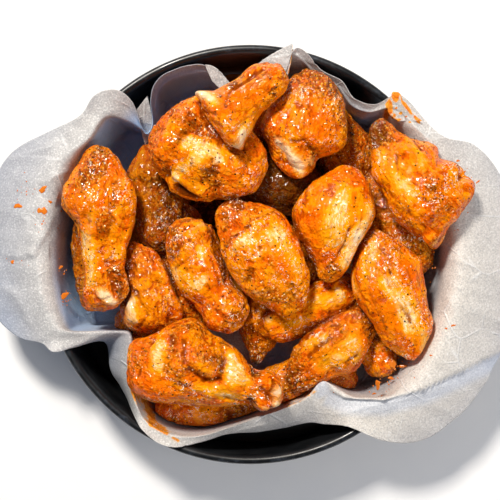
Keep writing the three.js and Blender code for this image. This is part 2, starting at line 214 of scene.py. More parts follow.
def nearestSpot(points, size, seed=0):
    # distance, in cells, to the nearest of one random spot in each cell of that size
    p = points / size + 11.7 * seed
    cell = np.floor(p).astype(np.int64)
    best = np.full(len(points), np.inf)
    for offset in np.ndindex(3, 3, 3):
        there = cell + np.array(offset) - 1
        spot = there + jitter[cellHash(there)]
        best = np.minimum(best, ((p - spot) ** 2).sum(1))
    return np.sqrt(best)


def smoothStep(x, low, high):
    # 3t^2 - 2t^3, with t from 0 at low to 1 at high
    t = np.clip((x - low) / (high - low), 0, 1)
    return t * t * (3 - 2 * t)


def softSpots(rows, x, y):
    # the sum over rows of amount times exp(-distance^2 / spread^2); the spread may differ in x and y
    total = np.zeros(len(x))
    for spotX, spotY, *spread, amount in rows:
        total += amount * np.exp(-((x - spotX) / spread[0]) ** 2 - ((y - spotY) / spread[-1]) ** 2)
    return total


def between(a, b, c, d, t):
    # the smooth curve through four values, at t from 0 to 1 between b and c
    slope, following, rise = (c - a) / 2, (d - b) / 2, c - b
    return b + t * (slope + t * (3 * rise - 2 * slope - following + t * (slope + following - 2 * rise)))


def pastStations(stations, along):
    # the smooth curve through the stations, which are the rows of an array, at places along from 0 to the
    # last
    k = np.minimum(along.astype(int), len(stations) - 2)
    near = [stations[np.clip(k + shift, 0, len(stations) - 1)] for shift in (-1, 0, 1, 2)]
    return between(*near, (along - k).reshape((-1,) + (1,) * (stations.ndim - 1)))


# halfFrame is the tangent of half the angle of view
view = {"x": 0, "y": 2.52, "height": 650, "halfFrame": 0.2336, "nearest": 10}
studio = {
    "floor": "#E9EAEC", "floorGrain": "#F1F1F0", "floorSize": 6000, "floorRough": 0.9,
    "worldColour": "#BCC8DE", "world": 0.34,
}
lamps = [  # squares that face the middle, size is their edge; one that shines shows in reflections
    {"name": "window", "at": (-290, 600, 900), "size": 165, "watts": 15.6, "colour": "#FFF8EE",
     "shines": True},
    {"name": "bounce", "at": (760, -380, 700), "size": 800, "watts": 6.0, "colour": "#FFF9F2",
     "shines": False},
]


def paintedBoard():
    # matt painted board: even, pale and without gloss
    material, tree, shader = newMaterial("matt painted board")
    place = addNode(tree, "ShaderNodeTexCoord").outputs["Object"]
    grain = addNode(tree, "ShaderNodeTexNoise", {"Vector": place, "Scale": 40.0, "Detail": 2.0})
    low, high = toLinear(studio["floor"]), toLinear(studio["floorGrain"])
    tint = addNode(tree, "ShaderNodeMix", {0: grain.outputs[0], 6: low, 7: high}, data_type="RGBA")
    feed(tree, shader, {"Base Color": tint.outputs[2], "Roughness": studio["floorRough"]})
    return material


def setStage():
    scene = bpy.context.scene
    camera = bpy.data.objects.new("camera", bpy.data.cameras.new("camera"))
    camera.location = [metres * view[key] for key in ("x", "y", "height")]
    camera.data.angle = 2 * math.atan(view["halfFrame"])
    camera.data.clip_start = metres * view["nearest"]
    scene.collection.objects.link(camera)
    scene.camera = camera

    half = studio["floorSize"] / 2
    corners = np.array([[-half, -half, 0], [half, -half, 0], [half, half, 0], [-half, half, 0]])
    putMesh("floor", corners, np.array([[0, 1, 2, 3]]), paintedBoard())

    for lamp in lamps:
        light = bpy.data.lights.new(lamp["name"], "AREA")
        light.size = metres * lamp["size"]
        light.energy = lamp["watts"]
        light.color = toLinear(lamp["colour"])[:3]
        holder = bpy.data.objects.new(lamp["name"], light)
        holder.location = [metres * v for v in lamp["at"]]
        holder.rotation_euler = (-holder.location).to_track_quat("-Z", "Y").to_euler()
        holder.visible_glossy = lamp["shines"]
        scene.collection.objects.link(holder)

    world = bpy.data.worlds.new("soft room")
    world.use_nodes = True
    feed(world.node_tree, world.node_tree.nodes["Background"],
         {"Color": toLinear(studio["worldColour"]), "Strength": studio["world"]})
    world.cycles_visibility.glossy = False
    scene.world = world
    scene.view_settings.view_transform = "Standard"


setStage()
print("stage set")


tinBox = [np.array(corner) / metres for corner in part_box("tin")]
tin = {
    "rim": tinBox[1][0],  # outer radius over the rolled rim
    "height": tinBox[1][2],
    "wall": 1.2,
    "bead": 2.2,  # radius of the roll
    "corner": 6.0,  # radius between floor and wall
    "around": 240,
    "floorRadii": (20, 45, 70, 92),
    "wallHeights": (14, 24, 34),
    "wearHighlightTop": 1.3, "wearHighlightSide": 0.8,  # how far down and in from the rim the coat is worn and the painted highlight lies
    "wearHighlightAbove": 8,
}
tin["outer"] = tin["rim"] - 2 * tin["bead"] + tin["wall"]
tin["inner"] = tin["outer"] - tin["wall"]
# Sauce on the tin: x, y, spread in x and y, amount.
tinSpills = [(-10, 106, 18, 12, 1.2), (-8, 113, 12, 6, 0.8), (69, 93, 6, 6, 0.7)]


def bakedEnamel():
    # thin steel sheet with a dull black baked coat: soft broad shine, and greyer on the rim from rubbed wear
    # and a painted highlight
    material, tree, shader = newMaterial("black baked enamel on steel")
    place = addNode(tree, "ShaderNodeTexCoord").outputs["Object"]
    values = {name: addNode(tree, "ShaderNodeAttribute", attribute_name=name).outputs["Fac"]
              for name in ("rimWearAndHighlight", "spilt")}
    addPatterns(tree, place, {"cloud": (11.1111, 4, 0.5, 0, 1), "scuff": (2.38095, 5, 0.7, 0, 1)}, values)
    addSteps(tree, [
        ("rubbedAndHighlit", "MULTIPLY", "rimWearAndHighlight", "scuff"),
        ("smeared", "MULTIPLY", "spilt", "cloud"),
        ("oiled", "RAMP", "cloud", 0.35, 0.7, 0.28, 0.46),
    ], values, "LINEAR")
    colour = addCoats(tree, toLinear("#0C0D0F"), [
        ("cloud", 0, 1, 1, "#1B1E22"),
        ("rubbedAndHighlit", 0.34, 0.7, 1, "#3E444E"),
        ("smeared", 0.12, 0.4, 1, "#5E2A10"),
    ], values, "LINEAR")
    bump = addNode(tree, "ShaderNodeBump", {"Height": values["scuff"], "Strength": 0.12, "Distance": 0.0003})
    feed(tree, shader, {
        "Base Color": colour, "Roughness": values["oiled"], "Normal": bump.outputs[0], "Metallic": 0.0,
        "IOR": 1.5, "Specular IOR Level": 0.6,
    })
    return material


def revolve(profile, around):
    # a profile of (radius, height) turned round the upright axis; its first and last points lie on the axis
    turns = 2 * np.pi * np.arange(around) / around
    radius, height = profile[1:-1, 0, None], profile[1:-1, 1, None]
    rings = np.stack([radius * np.cos(turns), radius * np.sin(turns), height + 0 * turns], axis=2)
    points = np.concatenate([rings.reshape(-1, 3), [[0, 0, profile[0, 1]], [0, 0, profile[-1, 1]]]])
    return points, closedFaces(len(profile) - 2, around)


def arc(x, y, radius, fromDegrees, toDegrees, count):
    # points round a circle, x + radius cos(angle) and y + radius sin(angle)
    angles = np.radians(np.linspace(fromDegrees, toDegrees, count))
    return np.stack([x + radius * np.cos(angles), y + radius * np.sin(angles)], axis=1)


def makeTin():
    # the profile runs under the floor, round the corner, up the wall, over the rolled rim and down inside
    corner, wall, bead = tin["corner"], tin["wall"], tin["bead"]
    beadX, beadY = tin["rim"] - bead, tin["height"] - bead
    floorRadii = np.array(tin["floorRadii"], float)
    profile = np.concatenate([
        [[0, 0]],
        np.stack([floorRadii, 0 * floorRadii], axis=1),
        arc(tin["outer"] - corner, corner, corner, -90, 0, 9),
        [[tin["outer"], h] for h in (*tin["wallHeights"], beadY - 5)],
        arc(beadX, beadY, bead, -125, 150, 18),
        [[tin["inner"], h] for h in (beadY - 3, *tin["wallHeights"][::-1])],
        arc(tin["inner"] - corner + wall, corner, corner - wall, 0, -90, 9),
        np.stack([floorRadii[::-1], wall + 0 * floorRadii], axis=1),
        [[0, wall]],
    ])
    points, faces = revolve(profile, tin["around"])
    x, y, height = points.T
    radius = np.hypot(x, y)
    # the rim is lighter on its top and outside: partly rubbed wear, partly a painted highlight
    top = np.exp(-((height - tin["height"]) / tin["wearHighlightTop"]) ** 2)
    outside = np.exp(-((radius - tin["rim"]) / tin["wearHighlightSide"]) ** 2)
    patches = 0.6 + 0.5 * layered(points, 9, 2, 4)
    rimWearAndHighlight = np.clip((1.15 * top + 0.35 * outside) * patches, 0, 1) * (height > tin["wearHighlightAbove"])
    within = (radius < tin["inner"] + 0.1) & (height > 0.5)
    looks = {"rimWearAndHighlight": rimWearAndHighlight, "spilt": within * softSpots(tinSpills, x, y)}
    piece = putMesh("round_tin", points, faces, bakedEnamel(), looks)
    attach(piece, "root")
    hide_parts("tin")


makeTin()
print("tin made")


sheet = {
    "thick": 0.3,
    "floor": 2.05,  # height of the sheet's middle on the tin's floor
    "mostFoot": 101.0, "mostWall": 110.5,  # largest radius on the floor and up the wall
    "footInset": 4.0, "cornerRise": 1.15,  # the foot of the wall inside its fold, and how the wall curves
    "columns": 600,
    "rows": 78,
    "flatRadius": 112, "flatShare": 0.5,  # dents are found at that radius and this share of the length more
    "dents": [(0.9, 34, 5), (0.35, 15, 8)],  # height, size, seed
    "dentFloor": -0.6, "dentInTin": 0.25,
    "tinGap": 0.8, "clear": 0.5,  # room left to the tin's wall, and how near its rim the sheet is let go
    # stations out from the middle: where dents and pleats grow, and where the tin no longer holds the sheet
    "dented": (3.0, 6.5), "pleated": (4.2, 5.5), "held": 6, "dropsFrom": 4.6,
}

# Anticlockwise round the tin from +X: the turn, radius and height of the highest fold, then of the free edge.
folds = np.array([
    [0, 118, 54, 0, 153, 43], [9, 118, 54, 9, 153, 42], [18, 118, 54, 18, 149, 43],
    [25, 117, 55, 26, 141, 47], [30, 116, 56, 31, 127, 53], [39, 115, 56, 38, 123, 55],
    [46, 113, 57, 47, 121, 58], [50, 104, 46, 50, 109, 52], [56, 102, 40, 56, 105, 46],
    [62, 107, 40, 62, 110, 47], [70, 108, 42, 69, 111, 48], [77, 113, 54, 77, 117, 58],
    [83, 111, 54, 80, 101, 51], [90, 104, 47, 90, 98, 46], [97, 97, 38, 98, 96, 44],
    [103, 105, 42, 103, 108, 48], [108, 108, 42, 108, 111.5, 49], [114, 108, 42, 114, 111.5, 49],
    [119, 106, 41, 119, 109, 48], [122.5, 99, 38, 122.5, 103, 46], [126, 91, 32, 126, 93, 39],
    [130, 90, 36, 131, 91, 42], [132, 100, 44, 128, 107, 52], [135, 109, 52, 129, 117, 57],
    [139, 111, 54, 134, 123, 58], [144, 110, 54, 141, 122, 56], [152, 115, 54, 149, 133, 50],
    [160, 118, 54, 158, 148, 44], [170, 118, 54, 169, 153, 42], [180, 118, 54, 180, 153, 42],
    [190, 118, 54, 191, 151, 43], [197, 116, 54, 199, 140, 47], [202, 112, 54, 203, 127, 51],
    [208, 92, 48, 207, 120, 54], [213, 82, 45, 211, 98, 38], [221, 89, 47, 219, 105, 27],
    [229, 101, 49, 228, 109, 32], [238, 109, 53, 238, 114, 55], [247, 109, 53, 247, 116, 55],
    [255, 105, 49, 255, 110, 47], [263, 98, 47, 263, 103, 42], [272, 92, 47, 272, 102, 38],
    [282, 89, 46, 281, 102, 37], [291, 87, 46, 288, 102, 37], [300, 83, 48, 293, 105, 41],
    [306, 98, 51, 300, 111, 54], [314, 110, 53, 306, 130, 49], [321, 117, 54, 313, 144, 44],
    [331, 118, 54, 325, 151, 42], [341, 118, 54, 337, 153, 42], [350, 118, 54, 348, 153, 42],
])


def sheetGrid():
    # Each column runs from the middle of the floor up the wall, over its highest fold, to the free edge.
    # Columns are the smooth curve through the folds, and points along a column are the smooth curve through
    # its nine stations.
    wrapped = np.concatenate([folds[-2:] - [360, 0, 0, 360, 0, 0], folds, folds[:3] + [360, 0, 0, 360, 0, 0]])
    turns = 360 * np.arange(sheet["columns"]) / sheet["columns"]
    i = np.clip(np.searchsorted(wrapped[:, 0], turns, side="right") - 1, 1, len(wrapped) - 3)
    t = ((turns - wrapped[i, 0]) / (wrapped[i + 1, 0] - wrapped[i, 0]))[:, None]
    _, lipRadius, lipHeight, edgeTurn, edgeRadius, edgeHeight = between(
        wrapped[i - 1], wrapped[i], wrapped[i + 1], wrapped[i + 2], t).T
    foot = np.minimum(sheet["mostFoot"], lipRadius - sheet["footInset"])
    reach = np.minimum(lipRadius, sheet["mostWall"])
    floor = sheet["floor"]
    walls = [(turns, foot + (reach - foot) * (1 - (1 - part) ** 2),
              floor + (lipHeight - floor) * part ** sheet["cornerRise"]) for part in (0.28, 0.55, 0.85)]
    level = np.full(len(turns), floor)
    stations = np.array([
        (turns, foot * 0.4, level), (turns, foot * 0.8, level), (turns, foot, level + 0.4), *walls,
        (turns, lipRadius, lipHeight),
        (turns + 0.55 * (edgeTurn - turns), (lipRadius + edgeRadius) / 2,
         lipHeight + 0.4 * (edgeHeight - lipHeight)),
        (edgeTurn, edgeRadius, edgeHeight),
    ]).transpose(0, 2, 1)
    along = (len(stations) - 1) * np.linspace(0, 1, sheet["rows"]) ** 0.8
    turn, radius, height = pastStations(stations, along).transpose(2, 0, 1)
    angle = np.radians(turn)
    middle = np.stack([radius * np.cos(angle), radius * np.sin(angle), np.maximum(height, floor)], axis=2)
    return middle, along[:, None] + 0 * turns


def crumple(u, v, size, seed):
    # sharp creases: straight folds in random directions, each a triangle wave that fades in and out over the
    # sheet
    lines = np.random.default_rng(seed)
    total = np.zeros(u.shape)
    flat = np.stack([u.ravel(), v.ravel(), 0 * u.ravel()], axis=1)
    for i in range(7):
        angle = lines.uniform(0, np.pi)
        phase = (u * np.cos(angle) + v * np.sin(angle)) / (size * lines.uniform(0.7, 1.6))
        phase = phase + lines.uniform(0, 1)
        phase = phase + 0.5 * wander(flat, size * 2.2, seed + i).reshape(u.shape)
        fold = 1 - 2 * np.abs((phase % 1) - 0.5) * 2
        total += fold * smoothStep(wander(flat, size * 1.8, seed + 20 + i).reshape(u.shape), -0.1, 0.5)
    return total / 3


def bakingParchment():
    # silicone-coated paper: dull milky white with a fine mottle, greyer where it lies on black, orange where
    # sauce has soaked in, and with pale lines where it was creased; painted shade on its walls inside the
    # tin, a painted blue sky shade in hollows, and painted light, lighter and warmer, toward the lower right
    material, tree, shader = newMaterial("baking parchment")
    place = addNode(tree, "ShaderNodeTexCoord").outputs["Object"]
    looks = addNode(tree, "ShaderNodeAttribute", attribute_name="looks")
    parts = addNode(tree, "ShaderNodeSeparateColor", {0: looks.outputs["Color"]}).outputs
    values = {"sauce": parts[0], "tinShowsAndShade": parts[1], "paintedLitSide": parts[2], "paintedSkyShade": looks.outputs["Alpha"]}
    addPatterns(tree, place, {
        "pulp": (0.95238, 2, 0.6, 0, 1), "cloud": (13.3333, 4, 0.6, 0, 1), "blot": (3.0303, 4, 0.65, 0, 1),
        "drift": (31.25, 1, 0.5, 0, 1),
    }, values)
    for name, size in (("longCreases", 31), ("shortCreases", 13)):  # the walls between cells of that size
        values[name] = addNode(tree, "ShaderNodeTexVoronoi", {"Vector": place, "Scale": 1 / (metres * size)},
                               feature="DISTANCE_TO_EDGE").outputs["Distance"]
    addSteps(tree, [
        ("longCreases", "RAMP", "longCreases", 0.022, 0.004, 0, 1),
        ("longShown", "RAMP", "drift", 0.47, 0.56, 0, 1),
        ("longCreases", "MULTIPLY", "longCreases", "longShown"),
        ("shortCreases", "RAMP", "shortCreases", 0.022, 0.004, 0, 1),
        ("shortShown", "RAMP", "cloud", 0.47, 0.56, 0, 0.5),
        ("shortCreases", "MULTIPLY", "shortCreases", "shortShown"),
        ("creases", "MAXIMUM", "longCreases", "shortCreases"),
        ("soaked", "MULTIPLY_ADD", "blot", 1.1, -0.55),
        ("soaked", "ADD", "soaked", "sauce"),
        ("swell", "MULTIPLY_ADD", "creases", 0.9, "cloud"),
        ("swell", "MULTIPLY_ADD", "pulp", 0.5, "swell"),
        ("rough", "RAMP", "soaked", 0.44, 0.56, 0.5, 0.2),
    ], values, "LINEAR")
    values["sauceColour"] = addCoats(tree, toLinear("#C8600A"), [
        ("blot", 0.36, 0.62, 1, "#FBA636"),
        ("soaked", 0.95, 1.25, 1, "#3A1604"),
    ], values, "LINEAR")
    colour = addCoats(tree, toLinear("#AFADAC"), [
        ("cloud", 0.3, 0.7, 1, "#C9C7C4"),
        # painted light: the sheet lighter and warmer toward the lower right
        ("paintedLitSide", 0, 1, 0.5, "#EBE2D4"),
        ("pulp", 0.5, 0.32, 0.45, "#8C8F95"),
        ("pulp", 0.54, 0.7, 0.55, "#F8F8F6"),
        ("creases", 0, 1, 0.38, "#FBFBFA"),
        # greyer where the black tin shows through, and painted shade on the walls inside the tin
        ("tinShowsAndShade", 0, 1, 1, "#73809A"),
        # painted sky shade: blue in hollows and beside the lower ledges
        ("paintedSkyShade", 0, 1, 0.95, "#A6CCFF"),
        ("soaked", 0.28, 0.5, 0.5, "#E9B673"),
        ("soaked", 0.44, 0.56, 1, "sauceColour"),
    ], values, "LINEAR")
    bump = addNode(tree, "ShaderNodeBump", {"Height": values["swell"], "Strength": 0.7, "Distance": 0.0006})
    feed(tree, shader, {
        "Base Color": colour, "Roughness": values["rough"], "Normal": bump.outputs[0], "IOR": 1.45,
        "Subsurface Weight": 0.7, "Subsurface Radius": (1.0, 1.0, 1.0), "Subsurface Scale": 0.0008,
    })
    return material


# Pleats of the sheet seen from above: lines [x, y, x, y, reach, height], lifted along the line and falling
# away to both sides for a ridge, or only to the left of the line's direction for a ledge.
ridges = [
    (-117, 40, -84, 54, 2.2, 1.8), (-129, 20, -117, 33, 1.8, 1.4), (-148, 30, -129, 20, 2.0, 1.0),
    (-140, 52, -108, 62, 2.4, 1.2), (-119, -2, -114, -34, 3.0, 1.2), (-134, -20, -122, -40, 2.0, 1.0),
    (-150, -14, -133, -22, 2.0, 1.0), (104, -10, 118, -40, 3.0, 1.2), (118, 34, 134, 16, 2.4, 1.2),
    (112, -2, 150, -16, 2.6, 1.2), (122, -30, 148, -40, 2.4, 1.0), (60, -90, 82, -84, 2.0, 1.0),
    (100, -84, 122, -92, 2.2, 1.0), (84, 74, 104, 62, 2.4, 1.2), (100, 64, 120, 66, 2.0, 1.0),
    (46, -90, 70, -84, 1.6, 1.3), (70, -84, 116, -72.5, 1.6, 1.3), (-96, -50, -80, -66, 2.4, 0.9),
    (-66, -84, -60, -98, 2.2, 1.0), (-20, -104, 20, -94, 2.2, 0.9),
]
ledges = [
    (-136, -2, -120, -0.8, 7, 1.8), (-120, -0.8, -113, 12.6, 7, 2.0), (-113, 12.6, -106.5, 25, 7, 1.6),
    (43.4, -70.7, 46, -77, 7, 1.4), (46, -77, 53, -80, 7, 2.2), (53, -80, 74, -80.8, 7, 2.8),
    (74, -80.8, 96, -75, 7, 2.8), (96, -75, 118, -65.5, 7, 2.6), (118, -65.5, 142, -55, 7, 1.8),
]


def lineParts(row, x, y):
    # how far along a line the nearest point lies, 0 to 1, the distance from it, positive on the left side,
    # and the length of the line
    ax, ay, bx, by = row[:4]
    runX, runY = bx - ax, by - ay
    length = math.hypot(runX, runY)
    t = ((x - ax) * runX + (y - ay) * runY) / length ** 2
    side = (runX * (y - ay) - runY * (x - ax)) / length
    return t, side, length


def pleatHeight(x, y):
    # each pleat is its height times exp(-distance / reach), faded out past the ends of its line
    total = np.zeros(x.shape)
    for row in ridges:
        t, side, _ = lineParts(row, x, y)
        fade = smoothStep(t, -0.15, 0.15) * smoothStep(t, 1.15, 0.85)
        total += row[5] * fade * np.exp(-np.abs(side) / row[4])
    for row in ledges:
        t, side, _ = lineParts(row, x, y)
        fade = smoothStep(t, -0.12, 0.05) * smoothStep(t, 1.12, 0.95)
        total += row[5] * fade * np.exp(-np.maximum(side, 0) / row[4]) * smoothStep(side, -0.9, 0.3)
    return total


# Sauce soaked into the sheet, seen from above: x, y, half length, half width, turn in degrees, amount.
stains = [
    (80.3, 87.6, 2.4, 3.8, 0, 0.95), (77.4, 81.5, 2.1, 5.2, 6, 0.9), (86.8, 81.6, 1.3, 6.2, 38, 0.9),
    (92.4, 75.2, 1.1, 4, 45, 0.8), (81.2, 81, 1.1, 0.7, 40, 0.9), (83.6, 78.4, 1.3, 0.8, 20, 0.95),
    (80.2, 77.2, 0.8, 1.3, 0, 0.9), (86.6, 76.4, 1.0, 0.7, 0, 0.9), (83, 75, 1.4, 0.6, 15, 0.85),
    (88.6, 73.6, 0.8, 0.6, 0, 0.85), (78.8, 74.8, 0.7, 0.9, 0, 0.85),
    (-20, 14, 58, 52, 0, 1.3), (34, 30, 46, 46, 0, 1.3), (30, -26, 26, 18, 0, 1.3),
    (83, -62, 8, 4, 20, 0.42), (72, -71, 6, 2, 70, 0.45),
]

# Hollows of the sheet that only the sky lights, painted with a blue sky shade: x, y, spread, amount.
skyLit = [(-74, 60, 26, 1.5), (-36, 97, 20, 0.5), (14, -62, 11, 1.3), (66, 66, 14, 0.5), (-108, -30, 26, 0.9)]

# Spots where the black tin shows through the sheet: x, y, spread, amount.
tinBehind = [(-42, 92, 16, 0.7)]

# Sauce along the sheet's edges, seen from above: x and y of both ends, radius, amount.
edgeSauce = [
    (-68, -54, -66, -78, 1.6, 0.75), (-66, -78, -55, -95, 1.6, 0.75), (-55, -95, -40, -104, 1.4, 0.6),
    (-6, -93, 10, -88, 1.8, 0.6), (20, -86, 36, -78, 1.8, 0.5),
]


def soakedShare(x, y):
    # the most that any stain gives: amount times exp(-distance^2 / radius^2) for edges, and for spots amount
    # times exp(-distance^3) with the distance as a share of the spot
    total = np.zeros(len(x))
    for row in edgeSauce:
        t, side, length = lineParts(row, x, y)
        beyond = np.maximum(np.maximum(-t, t - 1), 0) * length
        total = np.maximum(total, row[5] * np.exp(-(side ** 2 + beyond ** 2) / row[4] ** 2))
    for spotX, spotY, long, wide, turn, amount in stains:
        c, s = math.cos(math.radians(turn)), math.sin(math.radians(turn))
        u, v = ((x - spotX) * c + (y - spotY) * s) / long, ((y - spotY) * c - (x - spotX) * s) / wide
        total = np.maximum(total, amount * np.exp(-np.hypot(u, v) ** 3))
    return total


# Loose corners of the sheet that fold back over it: the surface between two smooth lines of x, y, z, and how
# much sauce there is on the first line, in the middle and on the second line.
corners = [
    {"first": [(-25.2, 106.8, 48.5), (-21.3, 106, 48.5), (-17.9, 104, 48), (-14.6, 100.6, 47),
               (-10.7, 96.1, 46)],
     "second": [(-24.7, 105.1, 47.8), (-23, 101.2, 47), (-21.3, 97.8, 46.2), (-19.1, 95.6, 45.6),
                (-15.7, 92.8, 45)],
     "sauce": (0, 0, 0), "torn": 0.5},
    {"first": [(23.5, 116.9, 57.4), (17.8, 114.3, 56.4), (12, 111.4, 54.4), (6.7, 108.5, 52)],
     "second": [(23.6, 115.9, 57.4), (23, 109, 56), (21.6, 101.6, 53), (19.6, 95.6, 50)],
     "sauce": (0, 0, 0.62), "torn": 0.3},
    {"first": [(-64.4, 82.3, 42), (-63.6, 76, 38), (-62.5, 70, 33), (-61, 63.5, 28)],
     "second": [(-58.1, 89.7, 44), (-56.6, 82.5, 41), (-55.6, 75, 36), (-57, 68.1, 30)],
     "sauce": (0, 0, 0), "torn": 0.3},
    {"first": [(79, 89.8, 60), (82.8, 88.7, 60), (85.1, 82.6, 58.5), (90.1, 78.1, 57.5), (95.6, 73.9, 57)],
     "second": [(78.4, 89.2, 60), (77.3, 86, 58.5), (76.2, 81.6, 56.5), (77.8, 77.6, 55.5), (82.3, 74.3, 55)],
     "sauce": (0.7, 0.25, 0.62), "torn": 0.6},
]
cornerLook = {"long": 40, "wide": 16, "waves": 7, "waveHeight": 0.7, "tears": 1.6, "edge": 0.06, "seed": 50}


def foldedCorner(corner, seed):
    # the surface ruled between two smooth lines, wavy and as thick as the sheet, closed all round as a slab
    long, wide = cornerLook["long"], cornerLook["wide"]
    first, second = [pastStations(np.array(corner[key], float), np.linspace(0, len(corner[key]) - 1, long))
                     for key in ("first", "second")]
    share = np.linspace(0, 1, wide)[:, None, None]
    flat = first * (1 - share) + second * share
    normal = np.cross(np.gradient(flat, axis=0), np.gradient(flat, axis=1))
    normal /= np.linalg.norm(normal, axis=2, keepdims=True) + 1e-9
    normal *= np.where(normal[..., 2:] < 0, -1, 1)
    spots = flat.reshape(-1, 3)
    wave = layered(spots, cornerLook["waves"], 3, seed).reshape(wide, long) * cornerLook["waveHeight"]
    edge = np.exp(-np.minimum(share[..., 0], 1 - share[..., 0]) / cornerLook["edge"])
    ragged = layered(spots, cornerLook["tears"], 2, seed + 3).reshape(wide, long) * corner["torn"] * edge
    flat = flat + normal * wave[..., None] + (second - first) / 14 * ragged[..., None]
    rim = np.concatenate([np.arange(long), long * np.arange(1, wide) + long - 1,
                          long * (wide - 1) + np.arange(long - 2, -1, -1), long * np.arange(wide - 2, 0, -1)])
    following = np.roll(rim, -1)
    size = wide * long
    up = gridFaces(wide, long, closed=False)
    sides = np.stack([rim, following, following + size, rim + size], axis=1)
    half = normal * sheet["thick"] / 2
    points = np.concatenate([(flat + half).reshape(-1, 3), (flat - half).reshape(-1, 3)])
    a, b, c = points[up[0, :3]]
    faces = np.concatenate([up[:, ::-1], up + size, sides])
    if np.cross(b - a, c - a)[2] > 0:
        faces = faces[:, ::-1]
    amounts = np.interp(np.repeat(share.ravel(), long), [0, 0.12, 0.5, 0.88, 1],
                        [corner["sauce"][0]] + [corner["sauce"][1]] * 3 + [corner["sauce"][2]])
    looks = np.zeros((2 * size, 4))
    looks[:, 0] = np.maximum(np.concatenate([amounts, amounts]), soakedShare(points[:, 0], points[:, 1]))
    return points, faces, looks


def sheetLooks(points):
    # red: sauce, green: black showing through and painted wall shade, blue: painted light, alpha: painted sky
    # shade
    x, y, height = points.T
    radius = np.hypot(x, y)
    # on the walls inside the tin: partly greyer where the black tin shows through, partly painted shade
    onBlackAndShaded = smoothStep(height, 50, 30) * smoothStep(radius, 60, 95)
    # painted sky shade: a blue tint in hollows low in the sheet
    paintedSkyShade = softSpots(skyLit, x, y) * smoothStep(height, 51, 40)
    overhang = smoothStep(radius, 116, 136) * (0.5 + 0.5 * smoothStep(x - y, 60, -60))
    tinShowsAndShade = np.clip(onBlackAndShaded * (0.45 - 0.45 * paintedSkyShade) + 0.3 * overhang + softSpots(tinBehind, x, y), 0, 1)
    # painted shade: a faint blue band beside each of the lower ledges
    for row in ledges[3:]:
        t, side, _ = lineParts(row, x, y)
        beside = smoothStep(t, -0.35, -0.05) * smoothStep(t, 1.35, 1.05)
        paintedSkyShade = np.maximum(paintedSkyShade, 0.2 * beside * smoothStep(side, 0.2, -0.8) * smoothStep(side, -12, -6))
    # blue is painted light, rising toward the lower right
    return np.stack([soakedShare(x, y), tinShowsAndShade, smoothStep(x - y, -60, 160), np.clip(paintedSkyShade, 0, 1)], axis=1)


def makeSheet():
    # the grid moved along its way out by the creases of two crumples, then up by the pleats, pressed back
    # inside the tin below its rim and made a slab as thick as the sheet
    middle, along = sheetGrid()
    rows, columns = middle.shape[:2]
    thick, floor = sheet["thick"], sheet["floor"]
    normal = np.cross(np.gradient(middle, axis=0), np.roll(middle, -1, axis=1) - np.roll(middle, 1, axis=1))
    normal /= np.linalg.norm(normal, axis=2, keepdims=True) + 1e-9
    turn = np.arctan2(middle[..., 1], middle[..., 0])
    length = np.cumsum(np.linalg.norm(np.diff(middle, axis=0, prepend=middle[:1]), axis=2), axis=0)
    flatRadius = sheet["flatRadius"] + sheet["flatShare"] * length
    u, v = flatRadius * np.cos(turn), flatRadius * np.sin(turn)
    dents = sheet["dentFloor"] + sum(high * crumple(u, v, size, seed) for high, size, seed in sheet["dents"])
    dents *= sheet["dentInTin"] + (1 - sheet["dentInTin"]) * smoothStep(along, *sheet["dented"])
    pleats = pleatHeight(middle[..., 0], middle[..., 1]) * smoothStep(along, *sheet["pleated"])
    middle = middle + normal * dents[..., None] + pleats[..., None] * [0, 0, 1]
    radius = np.hypot(middle[..., 0], middle[..., 1])
    below = middle[..., 2] < tin["height"] + sheet["clear"]
    most = np.where(below, tin["inner"] - sheet["tinGap"], np.inf)
    within = (radius < tin["rim"] - sheet["clear"]) | (along < sheet["held"])
    middle[..., :2] *= np.where(within & (radius > most), most / radius, 1.0)[..., None]
    middle[..., 2] = np.maximum(middle[..., 2], floor)
    upper = middle + normal * thick / 2
    lower = middle - normal * thick / 2
    upper[..., 2] = np.maximum(upper[..., 2], floor + thick / 2)
    lower[..., 2] = np.maximum(lower[..., 2], floor - thick / 2)
    points = np.concatenate([lower.reshape(-1, 3), upper[::-1].reshape(-1, 3),
                             [[0, 0, floor - thick / 2], [0, 0, floor + thick / 2]]])
    looks = sheetLooks(points)
    faces = closedFaces(2 * rows, columns)
    for number, corner in enumerate(corners):
        more, moreFaces, moreLooks = foldedCorner(corner, cornerLook["seed"] + number)
        faces.append(moreFaces + len(points))
        points, looks = np.concatenate([points, more]), np.concatenate([looks, moreLooks])
    piece = putMesh("parchment_sheet", points, faces, bakingParchment(), {"looks": looks})
    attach(piece, "root")
    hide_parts("paper")
    return middle[along > sheet["dropsFrom"]]


paperPlaces = makeSheet()
print("sheet made")


